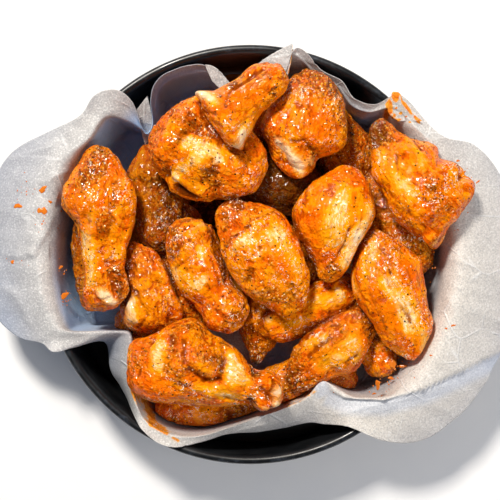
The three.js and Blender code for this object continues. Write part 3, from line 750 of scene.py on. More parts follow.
stationsAt = np.array([-0.9, -0.6, -0.3, 0, 0.3, 0.6, 0.9])  # where half widths are given, from end to end
skin = {
    "blunt": 2.5,  # power that rounds the ends
    "goldenAngle": 2.399963,
    "waveLength": 22.0, "waveHeight": 1.2, "waves": 6,  # slow unevenness, as the solids have
    "wrinkle": 0.75, "pimple": 0.3, "crag": 1.0, "lump": 1.5,  # heights of the fine relief
    "wrinkleSize": 10, "grooveWide": 0.09, "pimpleSize": 3.0, "cragSize": 4.2, "lumpSize": 13,
    "gloss": 0.35, "bareCalm": 0.75,  # how much flatter the relief is where skin isn't browned, or is bared
    # where two pieces meet the skin is redder and browner from sauce, and darker by painted shade
    "contactDip": 1.3, "contactReach": 3.2,  # skins draw in where two pieces meet, and there they are
    "contactRed": 0.35, "contactBrown": 0.45, "contactShade": 0.3,
    "pepperLeast": 0.35, "pepperPatches": 20,  # share of pepper on plain skin, and the size of its patches
    "apart": 137.0,  # between pieces in the noise, times their seeds
    "slack": 2.5, "slackBelow": 0.2,  # how far skin may stand out of its solid's box
    "paperGap": 1.2, "coneSlope": 2.5,  # room left to the sheet, and how fast the cone above it opens
}
plainFlat = (9, 14, 16, 16, 15, 13, 9)
plainDrumette = (9, 15, 18, 18, 15, 11, 8)
fine, middling, plain = (220, 190), (130, 120), (70, 70)  # rings and points round each
buried = dict(deep=0.75, left=plainFlat, right=plainFlat, mesh=plain, marks=[(-0.6, 6, 0.7, 6, 6, 2)])

# Bottom to top. at is the middle of a piece, heading the way its thin end points, left and right its half
# widths at the stations, deep its thickness as a share of its width. marks, folds and the paints are lines on
# the upper skin, [end, side, end, side, radius, amount]: ends run from -1 to 1, sides are in mm, to the left
# if positive. tone browns the whole piece, pale bares yellow skin and flesh, bone is cream gristle, red is
# thick sauce. The dark lines are painted shade in deep hollows, and shade is painted shade over a whole
# piece that lies in shadow.
heap = [
    dict(buried, node="flat_under_bottom_right", at=(33, -75, 23), heading=12, long=60, seed=8,
         marks=[(-0.6, 5, 0.7, 5, 5, 2)], tone=0.45),
    dict(buried, node="flat_under_lower_left", at=(-52, -50, 24), heading=-35, long=60, seed=10, tone=0.5),
    dict(buried, node="flat_under_left", at=(-89, 2, 24), heading=82, long=72,
         left=(4, 7, 12, 16, 15, 13, 9), seed=1, mesh=middling, tone=0.5, shade=0.35),
    dict(buried, node="flat_under_middle_left", at=(-37, -8, 25), heading=98, long=78, seed=24, tone=0.7),
    dict(buried, node="drumette_under_middle", at=(24, -8, 22), heading=-60, long=74, left=plainDrumette,
         right=plainDrumette, seed=25, marks=[(0, 0, 0.3, 0, 7, 2)], tone=0.6),
    dict(buried, node="flat_under_top", at=(6, 78, 27), heading=95, long=60, seed=26, tone=0.6),
    dict(buried, node="drumette_under_top", at=(55, 60, 24), heading=112, long=66, deep=0.8,
         left=plainDrumette, right=plainDrumette, seed=3,
         marks=[(0.1, 0, 0.4, 0, 7, 2), (0.9, 0, 0.9, 0, 6, 3)], tone=0.6),
    dict(node="drumette_under_bottom", at=(-22, -88, 25), heading=5, long=66, deep=0.8,
         left=(8, 11, 13, 14, 13, 11, 8), right=(7, 11, 12, 12, 11, 10, 7), seed=7, mesh=middling,
         marks=[(-0.6, 2, 0, -2, 8, 2)], tone=0,
         browned=[(-0.7, -4, -0.4, -12, 5, 0.7), (0.2, -4, 0.6, -3, 6, 0.8)],
         folds=[(-0.2, 6, -0.1, -8, 2, -0.8), (0.25, 4, 0.3, -8, 2, -0.8)]),
    dict(node="drumette_in_shadow_left", at=(-54, 31, 29), heading=102, long=66, deep=0.8,
         left=(10, 15, 14, 12, 13, 13, 5), right=(8, 13, 15, 15, 14, 12, 7), seed=2, mesh=middling,
         marks=[(-0.5, 5, 0, 3, 8, 2)], tone=0.35, shade=0.4,
         pale=[(0.55, 8, 0.9, 2, 3, 0.7), (-0.5, 6, -0.3, 5, 4, 0.3)],
         browned=[(-0.4, -8, 0.3, -6, 8, 0.8), (-0.5, 6, -0.2, 4, 5, 0.35), (-0.85, 5, -0.8, 0, 5, 0.6)]),
    dict(node="drumette_knuckle_right", at=(62, -40, 27), heading=-58, long=68, deep=0.8,
         left=(9, 15, 17, 15, 11, 10, 9), right=(9, 15, 17, 15, 11, 10, 9), seed=9, mesh=middling,
         marks=[(0.9, 2, 0.9, 2, 7, 3)], tone=0.3,
         browned=[(-0.4, 3, 0.3, 3, 8, 0.6)]),
    dict(node="drumette_bone_end", at=(7, -34, 29), heading=-98, long=58, deep=0.85,
         left=(8, 13, 15, 16, 14.5, 10, 3.5), right=(8, 12, 14, 15, 13, 8, 3.5), seed=6, mesh=middling,
         marks=[(0.95, 0, 0.95, 0, 3, 1.5)], tone=0.45,
         pale=[(0, 5, 0.1, 5, 4, 0.8), (0.45, -3, 0.5, -3, 3, 0.4)], browned=[(0.85, 1, 1, 0, 5, 1)],
         paintedShade=[(0.97, 0, 1, 0, 2.5, 1)]),
    dict(buried, node="flat_under_right", at=(84, 19, 31), heading=-62, long=66, seed=5, mesh=middling,
         tone=0.75),
    dict(node="drumette_in_shadow_middle", at=(18, 42, 31), heading=-25, long=74, deep=0.75,
         left=(10, 17, 21, 21, 18, 14, 9), right=(10, 17, 21, 21, 18, 14, 9), seed=4, mesh=middling,
         marks=[(-0.2, -8, 0.3, 6, 9, 2)], tone=0.6, shade=0.8),
    dict(node="flat_diagonal", at=(33, -31, 36), heading=24, long=64, deep=0.85,
         left=(6, 11, 12, 12, 12, 11, 7), right=(7, 12, 14.5, 14.5, 14, 12, 8), seed=12, mesh=fine,
         marks=[(-0.75, 4, -0.75, 4, 5, 2.5), (0.2, 2, 0.2, 6, 5, 2), (0.6, 2, 0.6, 4, 5, 2),
                (0.4, 8, 0.4, -8, 3, -2)], tone=0.08,
         folds=[(0.13, 7, 0.18, -7, 1.2, -0.8), (0.27, 7, 0.33, -8, 1.2, -0.8), (0.5, 6, 0.5, -6, 1.2, -0.6),
                (-0.1, 6, -0.15, -6, 1.4, -0.6), (-0.5, 5, -0.5, -5, 1.6, -0.8)],
         # the two wide pale lines, from -0.45 to -0.1 and 0.15 to 0.5, are partly painted light that
         # brightens the piece
         pale=[(-0.7, 4, -0.7, 3, 3, 1.2), (0.15, 4, 0.5, -3, 6, 1.0), (0.6, 3, 0.62, 0, 3, 1),
               (-0.45, -3, -0.1, -5, 5, 0.8)],
         bone=[(-0.7, 4, -0.7, 4, 2, 0.5), (0.2, 4, 0.2, 5, 2, 0.5), (0.6, 3, 0.62, 0, 2, 0.6)],
         browned=[(-0.4, -10, 0.6, -11, 3, 0.4), (-0.3, 6, 0.1, 8, 3, 0.4), (-0.5, 5, -0.45, -4, 2.5, 0.5)]),
    dict(node="drumette_lower_right", at=(47, -52.5, 40), heading=-140, long=66, deep=0.75,
         left=(8, 12, 15, 17, 14, 12, 8), right=(5, 12, 13.5, 16, 16, 12, 6), seed=13, mesh=fine,
         marks=[(-0.3, 8, 0.1, 12, 7, 2.5), (0.25, 10, 0.4, -12, 3, -2), (-0.3, -4, 0.1, -6, 7, 2)],
         tone=0.15, shade=0.1,
         folds=[(-0.05, -5, 0.4, -6, 1.4, -1.1), (0.35, 10, 0.42, -5, 1.6, -0.9), (-0.2, 10, 0, 9, 1.2, -0.8),
                (0.1, -7, 0.12, -14, 1.2, -0.6), (0.22, -7, 0.25, -14, 1.2, -0.6),
                (-0.3, -7, -0.2, -10, 1.5, -1)],
         pale=[(-0.25, 5, 0.3, 3, 7, 0.9), (0.05, -8, 0.3, -11, 4.5, 1.0), (-0.2, 12, 0.3, 12, 3, 0.6),
               (-0.6, -2, -0.4, 4, 5, 0.5)],
         bone=[(-0.15, 5, 0.1, 4, 4, 0.35), (0.1, -9, 0.25, -11, 2.5, 0.4)],
         browned=[(-0.75, -8, -0.6, 8, 5, 0.6), (0.55, 8, 0.9, 4, 7, 0.6), (-0.1, 9, 0, 9.5, 1.5, 1),
                  (0.55, -10, 0.9, -4, 7, 0.6), (-0.3, -3, 0, -5, 3, 0.4)],
         red=[(-0.4, 7, -0.5, 3, 5, 0.5), (0.6, 6, 0.9, 0, 8, 0.7), (0, 12, 0.3, 11, 4, 0.5)]),
    dict(node="flat_lower_left", at=(-58, -18.5, 42), heading=-66, long=58, deep=0.7,
         left=(5, 12, 14.5, 14.5, 14, 11, 5), right=(4, 9, 13, 18, 21, 19, 10), seed=11, mesh=fine,
         marks=[(-0.1, 11, 0.8, 9, 4, 3), (-0.1, 6, 0.8, 5, 2.5, -3), (0.4, -13, 0.5, -11, 5, 2.5)],
         tone=0.15, shade=0.1,
         folds=[(-0.55, -2, -0.1, 3, 1.2, -0.7), (-0.45, -5, 0.1, 0, 1.2, -0.7), (0, -6, 0.5, -5, 1.4, -1),
                (0.55, -8, 0.65, -15, 1.5, -1.1), (-0.1, -9, 0.1, -16, 1.6, -1.4)],
         pale=[(0.1, -10, 0.45, -13, 5.5, 1.2), (0.2, 10, 0.7, 9, 3.5, 0.5), (-0.5, -4, -0.2, -1, 4, 0.4),
               (-0.4, 11, -0.2, 11, 3, 0.4)],
         bone=[(0.15, -12, 0.4, -14, 3.6, 0.95), (0.3, 8, 0.5, 9, 1.5, 0.4)],
         browned=[(-0.7, 6, -0.5, 8, 4, 0.5), (0, 7, 0.7, 5.5, 1.6, 0.7), (-0.6, -9, -0.1, -13, 5, 0.7),
                  (0.8, -5, 0.9, -2, 4, 0.5)],
         red=[(0.2, 2, 0.6, -2, 5, 0.35), (0.6, -14, 0.8, -10, 4, 0.3)]),
    dict(node="flat_middle_left", at=(-24.5, -12, 46), heading=-62, long=70, deep=0.85,
         left=(10, 16, 15, 13, 12.5, 14.5, 10.5), right=(8, 14.5, 17, 18, 13.5, 13, 9), seed=14,
         mesh=fine, gloss=0.6,
         marks=[(0.25, 9, 0.35, -11, 3, -1.6), (0.62, 6, 0.62, 2, 5, 1.8), (0.82, 7, 0.82, 7, 4, 1.5),
                (0.68, -9, 0.7, -11, 5, 2.2), (-0.1, -10, 0.1, -8, 8, 2), (-0.5, 9, -0.42, 2, 3, -1.8),
                (-0.75, 10, -0.8, 2, 5, 2)], tone=0.05,
         folds=[(-0.82, 12, -0.87, 2, 1.1, 1.1), (-0.68, 16, -0.73, 2, 1.1, 1.2),
                (-0.6, 15, -0.63, 1, 1.1, -1.1),
                (-0.75, 14, -0.79, 2, 1.0, -1.2), (-0.9, 8, -0.92, -4, 1.2, -1),
                (0.42, 9, 0.44, -6, 1.4, -1.0),
                (0.55, -4, 0.8, -2, 1.4, -1.0), (0.72, 12, 0.74, 2, 1.3, -1),
                (-0.38, -3, -0.33, -13, 1.5, -0.9),
                (-0.2, 6, 0.3, 5, 1.5, -0.8), (-0.62, -2, -0.5, -12, 1.5, -0.9), (0.9, 6, 0.92, -6, 1.5, -1)],
         # of these, the thin pale rings at -0.66 and -0.8 and the spot at 0.55 are painted highlights
         pale=[(-0.33, -12, 0.05, -7, 5, 0.8), (-0.3, -15, 0.12, -14, 4, 0.8), (-0.45, 5, -0.33, 2, 3.5, 0.9),
               (-0.66, 14, -0.7, 2, 1.8, 1), (-0.8, 12, -0.84, 3, 1.4, 0.8), (0.02, -1, 0.08, -5, 3, 1),
               (0.55, 4, 0.6, 2, 2.6, 0.6), (-0.1, 3, 0.2, 2, 3, 0.4)],
         bone=[(0.02, -2, 0.06, -5, 1.8, 0.6), (-0.72, 12, -0.74, 4, 1.2, 0.5)],
         browned=[(-0.92, 6, -0.88, -6, 4, 0.8), (-0.7, -4, -0.55, -12, 5, 0.9), (-0.6, 12, -0.6, 2, 3, 0.4),
                  (-0.2, 10, 0.3, 9, 2.5, 0.6), (0.48, 5, 0.5, -6, 4, 0.5), (0.7, 8, 0.85, -4, 6, 0.55),
                  (-0.35, -2, -0.25, -6, 3, 0.4)],
         red=[(-0.15, 3, 0.35, 4, 5, 0.6), (0.5, -12, 0.8, -10, 4, 0.5), (0.2, -8, 0.35, -8, 4, 0.4)]),
    dict(node="drumette_left", at=(-84, 15, 50), heading=-88, long=92, deep=0.8,
         left=(9, 16, 20, 18, 14.5, 14.5, 12.5), right=(8, 17, 21, 13, 10, 10, 9), seed=21, mesh=fine,
         gloss=0.5,
         marks=[(-0.5, 17, 0.35, 11, 5, 2.8), (-0.5, 11, -0.2, 9, 2.2, -2.2), (-0.2, 10, 0.35, 4, 2, -1.6),
                (-0.09, 4.5, -0.02, 4, 5, 2.8), (0.8, 1, 0.8, 1, 4, 2.5), (0.88, 6, 0.88, 6, 3.5, 2.5),
                (0.5, 12, 0.75, 13, 4, 2), (0.1, -4, 0.6, -4, 5, 1.5)], tone=0.12, shade=0.05,
         folds=[(0.42, 4, 0.5, 14, 1.8, -1.3), (0.55, 6, 0.75, 8, 2, -1.4), (0.7, 2, 0.72, -8, 1.4, -0.8),
                (0.75, -8, 0.95, -7, 2.5, 1.4), (0.95, -8, 1, 2, 2, 1), (-0.4, 19, 0.3, 15, 1.3, -0.7),
                (0.85, 3.4, 0.83, 4, 1.1, -1.2), (-0.3, -2, -0.05, -4, 1.5, -0.7),
                (-0.15, -6, 0, -12, 1.5, -0.8),
                (-0.2, 15, 0.2, 11, 1.2, -0.6), (-0.75, 10, -0.6, 3, 1.5, -0.6)],
         pale=[(-0.12, -4, 0.65, -5, 4.2, 1.2), (0.05, -8, 0.3, -8, 2.5, 0.9), (-0.4, 18, 0.05, 15, 2.6, 0.6),
               (0.1, 12, 0.35, 9, 2.6, 0.7), (-0.55, -2, -0.35, 1, 3.5, 0.35),
               (-0.3, -16, -0.2, -17, 3, 0.3)],
         bone=[(0.78, 0.5, 0.8, 3, 2.8, 1.1), (0.86, 5, 0.89, 7, 2.8, 1.1),
               (0.08, -5.5, 0.25, -5.5, 1.8, 0.6)],
         browned=[(-0.87, 0, -0.6, -6, 5.5, 0.75), (-0.7, 4, -0.5, -8, 5, 0.45), (-0.97, 2, -0.9, 6, 4, 0.5),
                  (-0.12, 5, 0.02, 3, 4.5, 0.7), (-0.5, 12, -0.25, 10, 2.6, 0.55),
                  (0.48, 8, 0.82, 11, 5, 0.75),
                  (0.97, -2, 1, 4, 4, 0.5), (0.66, -2, 0.7, 2, 3, 0.4)],
         red=[(-0.85, 9, -0.6, 11, 5, 0.7), (-0.5, 5, -0.25, -3, 7, 0.35), (-0.25, -12, -0.05, -8, 6, 0.7),
              (0.5, 8, 0.8, 10, 6, 0.5), (0.88, -6, 0.98, -2, 4, 0.5), (-0.1, 8, 0.05, 0, 5, 0.5)]),
    dict(node="drumette_bottom_left", at=(-24.5, -66, 51), heading=-16, long=90, deep=0.75,
         left=(8, 20, 28, 21, 17, 10, 9), right=(18, 23.5, 22, 19, 15, 11, 9), seed=15, mesh=fine, gloss=0.45,
         marks=[(-0.02, 5, -0.02, 6, 7, 4), (-0.2, -1, 0.12, -3, 3, -2.6), (0.16, 0, 0.18, 12, 3, -2.2),
                (-0.3, 22, -0.3, 18, 7, 3), (-0.62, 5, -0.62, 0, 5, 2.2), (-0.47, 12, -0.46, -4, 3, -2.2),
                (-0.7, -14, -0.5, -16, 8, 2), (0.33, 9, 0.36, 0, 6, 2.2), (0.58, 9, 0.6, -10, 3, -3),
                (0.72, 5, 0.74, 5, 4, 2.5), (0.86, 2, 0.88, 1, 3.5, 3), (0.75, -8, 0.78, -7, 4, 3),
                (0.9, -5, 0.92, -4, 3.5, 2.5), (-0.3, 2, -0.3, 2, 5, 1.8)], tone=0.1,
         folds=[(-0.2, 2, 0, -3, 1.5, -1.3), (0, -3, 0.18, 0, 1.5, -1.3), (0.18, 0, 0.18, 12, 1.5, -1.2),
                (-0.52, 14, -0.5, -4, 1.4, -1.1), (0.6, 10, 0.62, -8, 1.8, -1.6),
                (0.68, 1, 0.8, -2, 1.3, -1.6),
                (0.8, 7, 0.79, -3, 1.2, -1.6), (0.85, -2, 0.85, -9, 1.2, -1.2),
                (-0.35, -3, -0.1, -14, 1.5, -0.8),
                (-0.74, 10, -0.76, -10, 1.6, -1.3), (-0.35, 14, -0.28, 4, 1.4, -1.1),
                (0.45, 14, 0.5, -2, 1.3, -0.8),
                (-0.1, 18, 0.1, 16, 1.5, -1.1), (0.3, -10, 0.55, -10, 1.4, -0.8),
                (-0.4, -8, -0.2, -9, 1.4, -0.8)],
         pale=[(-0.64, 9, -0.58, -2, 4.6, 1.3), (0.25, 12, 0.33, 3, 5, 1.5), (0.4, 7, 0.5, 2, 3.5, 1.0),
               (-0.05, -7, 0.35, -8, 6, 0.7), (-0.3, -18, 0.2, -16, 3, 0.6), (0.3, -9, 0.45, -9, 3.6, 0.6),
               (-0.02, 3, 0.05, 3, 2, 0.7), (-0.3, 3, -0.28, 0, 2.5, 0.5), (0.72, 5, 0.74, 5, 2.5, 0.5)],
         bone=[(0.85, 1, 0.89, 3, 2.4, 1.1), (0.9, -4, 0.92, -5, 2.4, 1), (0.76, -7, 0.78, -7, 1.8, 0.6),
               (0.22, -8.5, 0.4, -9.5, 2.4, 0.5), (-0.63, 6, -0.6, 1, 3, 0.55), (0.28, 8, 0.3, 5, 2.2, 0.5)],
         browned=[(-0.1, 11, 0.08, 9, 5, 0.75), (0.6, 9, 0.63, -8, 2.6, 1.2), (-0.45, 20, -0.2, 22, 6, 0.7),
                  (0.5, 14, 0.55, 8, 4, 0.7), (-0.48, 14, -0.46, -4, 2.4, 0.7), (0.1, 18, 0.35, 17, 4, 0.7),
                  (-0.2, 2, 0.1, -2.5, 2, 0.9), (0.17, 1, 0.18, 10, 1.8, 0.8), (-0.35, 8, -0.25, -4, 4, 0.45),
                  (-0.82, 8, -0.8, -6, 4, 0.5), (0.8, 6, 0.79, -3, 1.5, 1), (-0.2, -12, 0.1, -13, 3, 0.4)],
         red=[(-0.85, 3, -0.78, -10, 6, 1), (-0.85, -17, -0.55, -20, 6, 1.1), (-0.4, 15, -0.3, 10, 6, 0.6),
              (-0.5, -10, -0.3, -14, 6, 0.5), (-0.1, 10, 0.1, 8, 5, 0.5)]),
    dict(node="flat_right", at=(79, -23, 50), heading=-69, long=78, deep=0.62,
         left=(8, 17, 22, 21, 18, 15, 6), right=(8, 16, 19, 18, 15.5, 13, 7), seed=18, mesh=fine, gloss=0.65,
         marks=[(-0.5, 9, 0.6, 8, 7, 2), (-0.4, -9, 0.5, -7, 7, 1.5), (0.8, 2, 0.85, 2, 6, 1.2)], tone=0.1,
         folds=[(-0.6, -6, 0.2, -7, 2.5, 0.6), (-0.2, 3, 0.3, 9, 2, 0.8), (-0.3, -1, 0.4, 3, 1.4, -0.7),
                (-0.3, 11, 0.4, 11, 1.4, -0.6), (-0.7, 3, -0.2, 8, 1.4, -0.6), (-0.1, -2, 0.5, -3, 1.2, 0.7),
                (-0.2, -11, 0.4, -10, 1.4, -0.7), (-0.5, -13, 0.1, -14, 1.3, 0.7),
                (0.3, 4, 0.75, 2, 1.2, -0.6),
                (-0.15, 14, 0.2, 15, 1.2, 0.6), (-0.8, -3, -0.5, -5, 1.4, -0.6),
                (0.45, -4, 0.7, -6, 1.2, 0.8)],
         pale=[(-0.2, 1, 0.3, 7, 5, 0.75), (-0.25, -2, 0.25, -1, 4, 0.6), (0.4, 4, 0.8, 7, 5, 0.9),
               (-0.7, -5, -0.3, -10, 5, 0.8),
               (-0.78, 0, -0.62, -1, 4, 0.7), (-0.7, -13, -0.3, -18, 3, 0.8), (0.1, 3, 0.5, 0, 3, 0.8),
               (0.2, -6, 0.6, -7, 2.5, 0.5), (-0.5, 14, -0.3, 18, 3, 0.4)],
         bone=[(-0.2, 3, 0.1, 3, 1.6, 0.35), (0.15, -0.5, 0.35, 0.5, 1.4, 0.25), (0.6, 7, 0.85, 5, 3, 0.5),
               (-0.5, -17, -0.2, -18, 1.5, 0.5)],
         browned=[(-0.9, 5, -0.6, 12, 5, 0.5), (-0.65, 2, -0.4, 4, 5, 0.5), (-0.6, -6, -0.35, -8, 4, 0.4),
                  (0.2, 18, 0.9, 12, 2.2, 0.3)],
         red=[(0.1, -3, 0.75, -5, 4, 0.5), (-0.3, -8, 0.3, -12, 5, 0.55), (-0.35, 11, -0.2, 13, 4, 0.9),
              (-0.5, 6, -0.3, 8, 4, 0.5), (0.3, 12, 0.6, 12, 3, 0.4)]),
    dict(node="drumette_upper_right", at=(47, 18, 53), heading=-100, long=66, deep=0.72,
         left=(10, 20, 22, 20.5, 16, 12.5, 7), right=(6, 16, 21.5, 24, 21.5, 13.5, 6), seed=17,
         mesh=fine, gloss=0.85,
         marks=[(-0.3, 16, 0.7, 8, 5.5, 1.6), (-0.4, 10, 0.45, 7, 1.8, -0.9),
                (-0.8, 8, -0.78, -4, 3, -1.2)], tone=0,
         folds=[(-0.45, 8, 0.1, 8, 1.0, -0.8), (0.1, 8, 0.5, 5, 1.0, -0.8), (-0.72, 9, -0.7, -3, 1.0, -0.8),
                (0.5, 5, 0.8, 1, 1.2, -0.7), (-0.1, 13, 0.3, 11, 1.2, -0.5), (-0.3, 4, 0.3, 3, 1.3, 0.6),
                (-0.5, -4, 0, -5, 1.3, 0.5), (0.3, -2, 0.5, -5, 1.2, -0.5)],
         pale=[(-0.3, 16, 0.2, 13.5, 5, 1.1), (0.1, 13.5, 0.62, 8.5, 4.2, 1.3), (-0.5, 2, -0.2, 2, 5, 1),
               (0, 1, 0.35, 2, 6.5, 1.0), (-0.75, 3, -0.7, -1, 3, 0.4), (-0.3, -4, 0.3, -7, 6, 0.45)],
         bone=[(-0.15, 15, 0.15, 13, 3.4, 0.6), (0.15, 12.5, 0.6, 8.5, 3.2, 0.75),
               (-0.45, 3, -0.35, 3, 2, 0.4)],
         browned=[(0.78, 3, 1.0, 0, 5, 0.9), (-0.45, 8.2, 0.4, 6.5, 1.1, 0.7), (-0.88, 8, -0.85, 0, 3, 0.5),
                  (-0.5, 17, -0.2, 19, 2, 0.4)],
         red=[(-0.5, 7, 0.5, 4, 1.6, 0.9), (-0.85, 6, -0.8, -3, 4, 0.6), (-0.1, -14, 0.35, -12, 7, 0.5),
              (0.5, 0, 0.75, -2, 4, 0.5)]),
    dict(node="drumette_far_right", at=(92, 42.5, 57), heading=125, long=76, deep=0.72,
         left=(12, 20, 22, 22, 19.5, 14.5, 8), right=(8, 24, 24, 20, 19.5, 9, 5), seed=19, mesh=fine,
         gloss=0.6,
         marks=[(-0.8, 13, -0.92, 12, 4, 5), (-1, -6, -1, 4, 7, -7), (-0.85, -9, -0.95, -4, 6, -3),
                (-0.5, -18, -0.3, -18, 6, -1.5), (0.5, -14, 0.3, -15, 6, -1.5),
                (-0.6, -19, -0.55, -20, 4, 2.5),
                (-0.2, -17, -0.15, -18, 4, 2.5), (-0.38, -20, -0.38, -23, 3, -2.5),
                (0, -17, 0.05, -20, 3.5, -2.5),
                (-0.5, 10, 0.3, 14, 5, 1.5), (0.72, 13, 0.74, -8, 3, -1.8), (-0.1, -6, 0.3, -4, 9, 2)],
         tone=0.05,
         folds=[(0.15, 4, 0.32, -2, 1.2, 0.9), (0.32, -2, 0.5, 0, 1.2, 0.8), (0.5, 5, 0.62, -2, 1.2, 0.8),
                (0.4, 13, 0.62, 7, 1.3, 0.7), (0.1, -5, 0.6, -6, 1.5, 0.9), (0.3, -9, 0.6, -9.5, 1.5, -1.0),
                (0.15, -14, 0.5, -15, 1.8, 0.9), (-0.05, 18, 0.3, 20, 1.4, -0.7),
                (-0.65, 14, -0.35, 16, 1.3, -0.8),
                (0.22, 9, 0.42, 3, 1.1, -0.7), (0.05, 1, 0.25, -4, 1.1, -0.7), (-0.4, 3, -0.2, 8, 1.3, -0.7),
                (-0.3, -4, -0.1, -8, 1.3, -0.7), (0.34, 7, 0.5, 2, 1.1, -0.6), (-0.1, 15, 0.1, 17, 1.2, 0.7)],
         pale=[(-0.15, 8, 0.15, 11, 4.2, 1.1), (0.2, 2, 0.55, 10, 5, 0.6), (0.1, -5, 0.4, -6, 3, 0.8),
               (0.35, 14, 0.6, 10, 3.5, 0.6), (-0.3, 17, -0.2, 14, 3, 0.4), (-0.45, 12, -0.35, 9, 3, 0.4)],
         bone=[(-0.06, 9, 0.03, 9, 3.2, 0.6), (0.14, 4, 0.18, 2, 1.6, 0.6), (-0.85, 14, -0.88, 16, 2.2, 0.6)],
         browned=[(0.78, 3, 1, 6, 6.5, 1.4), (0.8, 8, 0.9, 10, 5, 1.0), (-0.6, -4, -0.25, 0, 6, 0.55),
                  (-0.2, -19, -0.1, -22, 4, 0.6), (0.35, -9, 0.58, -9, 1.8, 0.6),
                  (-0.86, 10, -0.9, 11, 3, 0.8),
                  (-0.5, 18, 0, 22, 3, 0.5), (-0.6, 8, -0.5, 4, 4, 0.4), (-0.15, -5, 0.1, -3, 4, 0.35)],
         red=[(-0.6, 0, -0.2, -5, 8, 0.5), (-0.55, -18, -0.5, -22, 5, 0.5), (0.62, 14, 0.75, 5, 4, 0.5),
              (-0.5, 15, -0.2, 20, 4, 0.5), (0.2, -11, 0.5, -12, 3, 0.5)]),
    dict(node="drumette_top", at=(30, 72.5, 53), heading=-100, long=62, deep=0.7,
         left=(10, 18, 22, 25, 23.5, 12, 8), right=(8, 15.5, 20, 23, 23.5, 17, 7), seed=20, mesh=fine,
         gloss=0.5,
         marks=[(0.42, -9, 0.6, -2, 3.5, 2.2), (0.6, -2, 0.85, 3, 3.5, 2.2), (0.56, 14, 0.5, 4, 3, -1.8),
                (0.6, 7, 0.66, 8, 3.5, 1.5)], tone=0.2, shade=0.05,
         folds=[(-0.35, 22, -0.2, 14, 1.5, -0.7), (0.33, 0, 0.48, 8, 1.2, -0.9), (0.5, 10, 0.62, 12, 1.4, -1),
                (0.88, -5, 0.92, 3, 1.8, 0.9), (0.33, -14, 0.38, -2, 1.4, -0.8),
                (0.76, -6, 0.78, 3, 1.2, -0.9),
                (-0.5, 5, -0.1, 14, 1.3, -0.5), (-0.3, 0, 0.1, 8, 1.3, -0.5), (-0.5, -6, 0, -10, 1.3, 0.5),
                (-0.7, 10, -0.6, -4, 1.4, -0.7)],
         pale=[(-0.5, 2, 0.1, 8, 5, 0.35), (0.4, -8, 0.75, 1, 5, 0.7), (0.85, 2, 0.92, 5, 2.5, 0.6),
               (-0.1, 16, 0.1, 18, 3, 0.3), (-0.2, -5, 0.1, -8, 4, 0.4)],
         bone=[(0.44, -12, 0.51, -8, 3.8, 1.3), (0.63, -3, 0.74, 0.5, 3.6, 1.4), (0.6, 6, 0.64, 8, 2.5, 0.65),
               (0.84, 4, 0.88, 4, 1.5, 0.6)],
         browned=[(-0.95, -5, -0.7, 12, 6, 0.85), (-0.7, -10, -0.5, -15, 5, 0.7), (-0.4, 18, 0.0, 22, 4, 0.5),
                  (0.2, -20, 0.5, -16, 4, 0.4), (0.33, 2, 0.48, 8, 2.5, 0.5), (0.6, 8, 0.72, 9, 4, 0.9),
                  (0.54, -8, 0.6, -2, 1.2, 0.9),
                  (-0.6, 12, -0.55, -4, 5, 0.4)],
         red=[(0, 10, 0.35, 12, 8, 0.7), (0.1, -2, 0.3, 0, 6, 0.4), (-0.3, 12, 0, 16, 5, 0.3)]),
    dict(node="drumette_middle", at=(7, 0, 55), heading=124, long=76, deep=0.72,
         left=(10, 16, 20, 21, 19, 15, 8), right=(8, 16.5, 22, 23, 22, 16, 8), seed=16, mesh=fine, gloss=0.55,
         marks=[(0.5, 17, 0.56, 4, 2.6, -2.0), (0.56, 4, 0.52, -14, 2.6, -2.0), (0.1, 2, 0.2, -8, 10, 2.5),
                (-0.4, 14, -0.4, 12, 6, 2), (-0.2, 16, -0.17, 8, 2.2, -1.4)], tone=0.06,
         folds=[(0.36, 16, 0.43, 6, 1.0, -0.8), (0.43, 6, 0.44, -3, 1.0, -0.9),
                (0.46, 14, 0.52, 2, 1.0, -0.7),
                (0.29, 14, 0.33, 4, 1.1, 0.8), (0.33, 4, 0.3, -3, 1.1, 0.6), (-0.1, 2, 0.28, -3, 1.3, -0.6),
                (0, -4, 0.33, -9, 1.3, -0.6), (-0.2, 17, -0.12, 9, 1.3, -1.0), (-0.5, 9, -0.33, 8, 1.2, -0.8),
                (0.2, 16, 0.24, 6, 1.0, -0.6), (-0.3, -8, 0.2, -13, 1.4, 0.6), (0.05, 5, 0.1, -2, 1.2, -0.6),
                (-0.65, 2, -0.3, 1, 1.4, 0.6), (0.75, 8, 0.72, -6, 1.6, -1.1)],
         pale=[(0.26, 14, 0.33, 3, 3.2, 0.95), (0.25, 0, 0.15, -12, 5, 0.7), (-0.45, -11, 0.1, -13, 6.5, 0.9),
               (-0.65, 1, -0.35, 2, 3, 0.7), (-0.1, 6, 0.1, 4, 3, 0.5), (-0.05, 17, 0.1, 18, 2.5, 0.5)],
         bone=[(-0.42, 13, -0.4, 13, 2.4, 0.7), (0.05, -7, 0.1, -6, 1.8, 0.5), (0.28, 11, 0.31, 6, 1.3, 0.4)],
         browned=[(-0.75, 4, -0.5, 6, 5, 0.4), (-0.17, 13, -0.08, 10, 2.6, 0.8),
                  (0.4, 13, 0.44, -2, 1.5, 0.8),
                  (0.5, -4, 0.42, -15, 1.8, 0.7), (0.62, 8, 0.85, -3, 7, 0.55), (0.65, -10, 0.8, -6, 6, 0.5),
                  (-0.75, -6, -0.6, -2, 5, 0.5), (-0.55, 10, -0.3, 15, 5, 0.35), (-0.3, 0, -0.1, -3, 4, 0.3)],
         red=[(-0.5, -4, -0.2, -6, 7, 0.5), (0.62, 10, 0.8, 0, 8, 0.8), (0.05, 12, 0.15, 8, 4, 0.4),
              (0.62, -10, 0.75, -8, 6, 0.6)]),
    dict(node="drumette_upper_left", at=(-22, 57, 55), heading=150, long=66, deep=0.68,
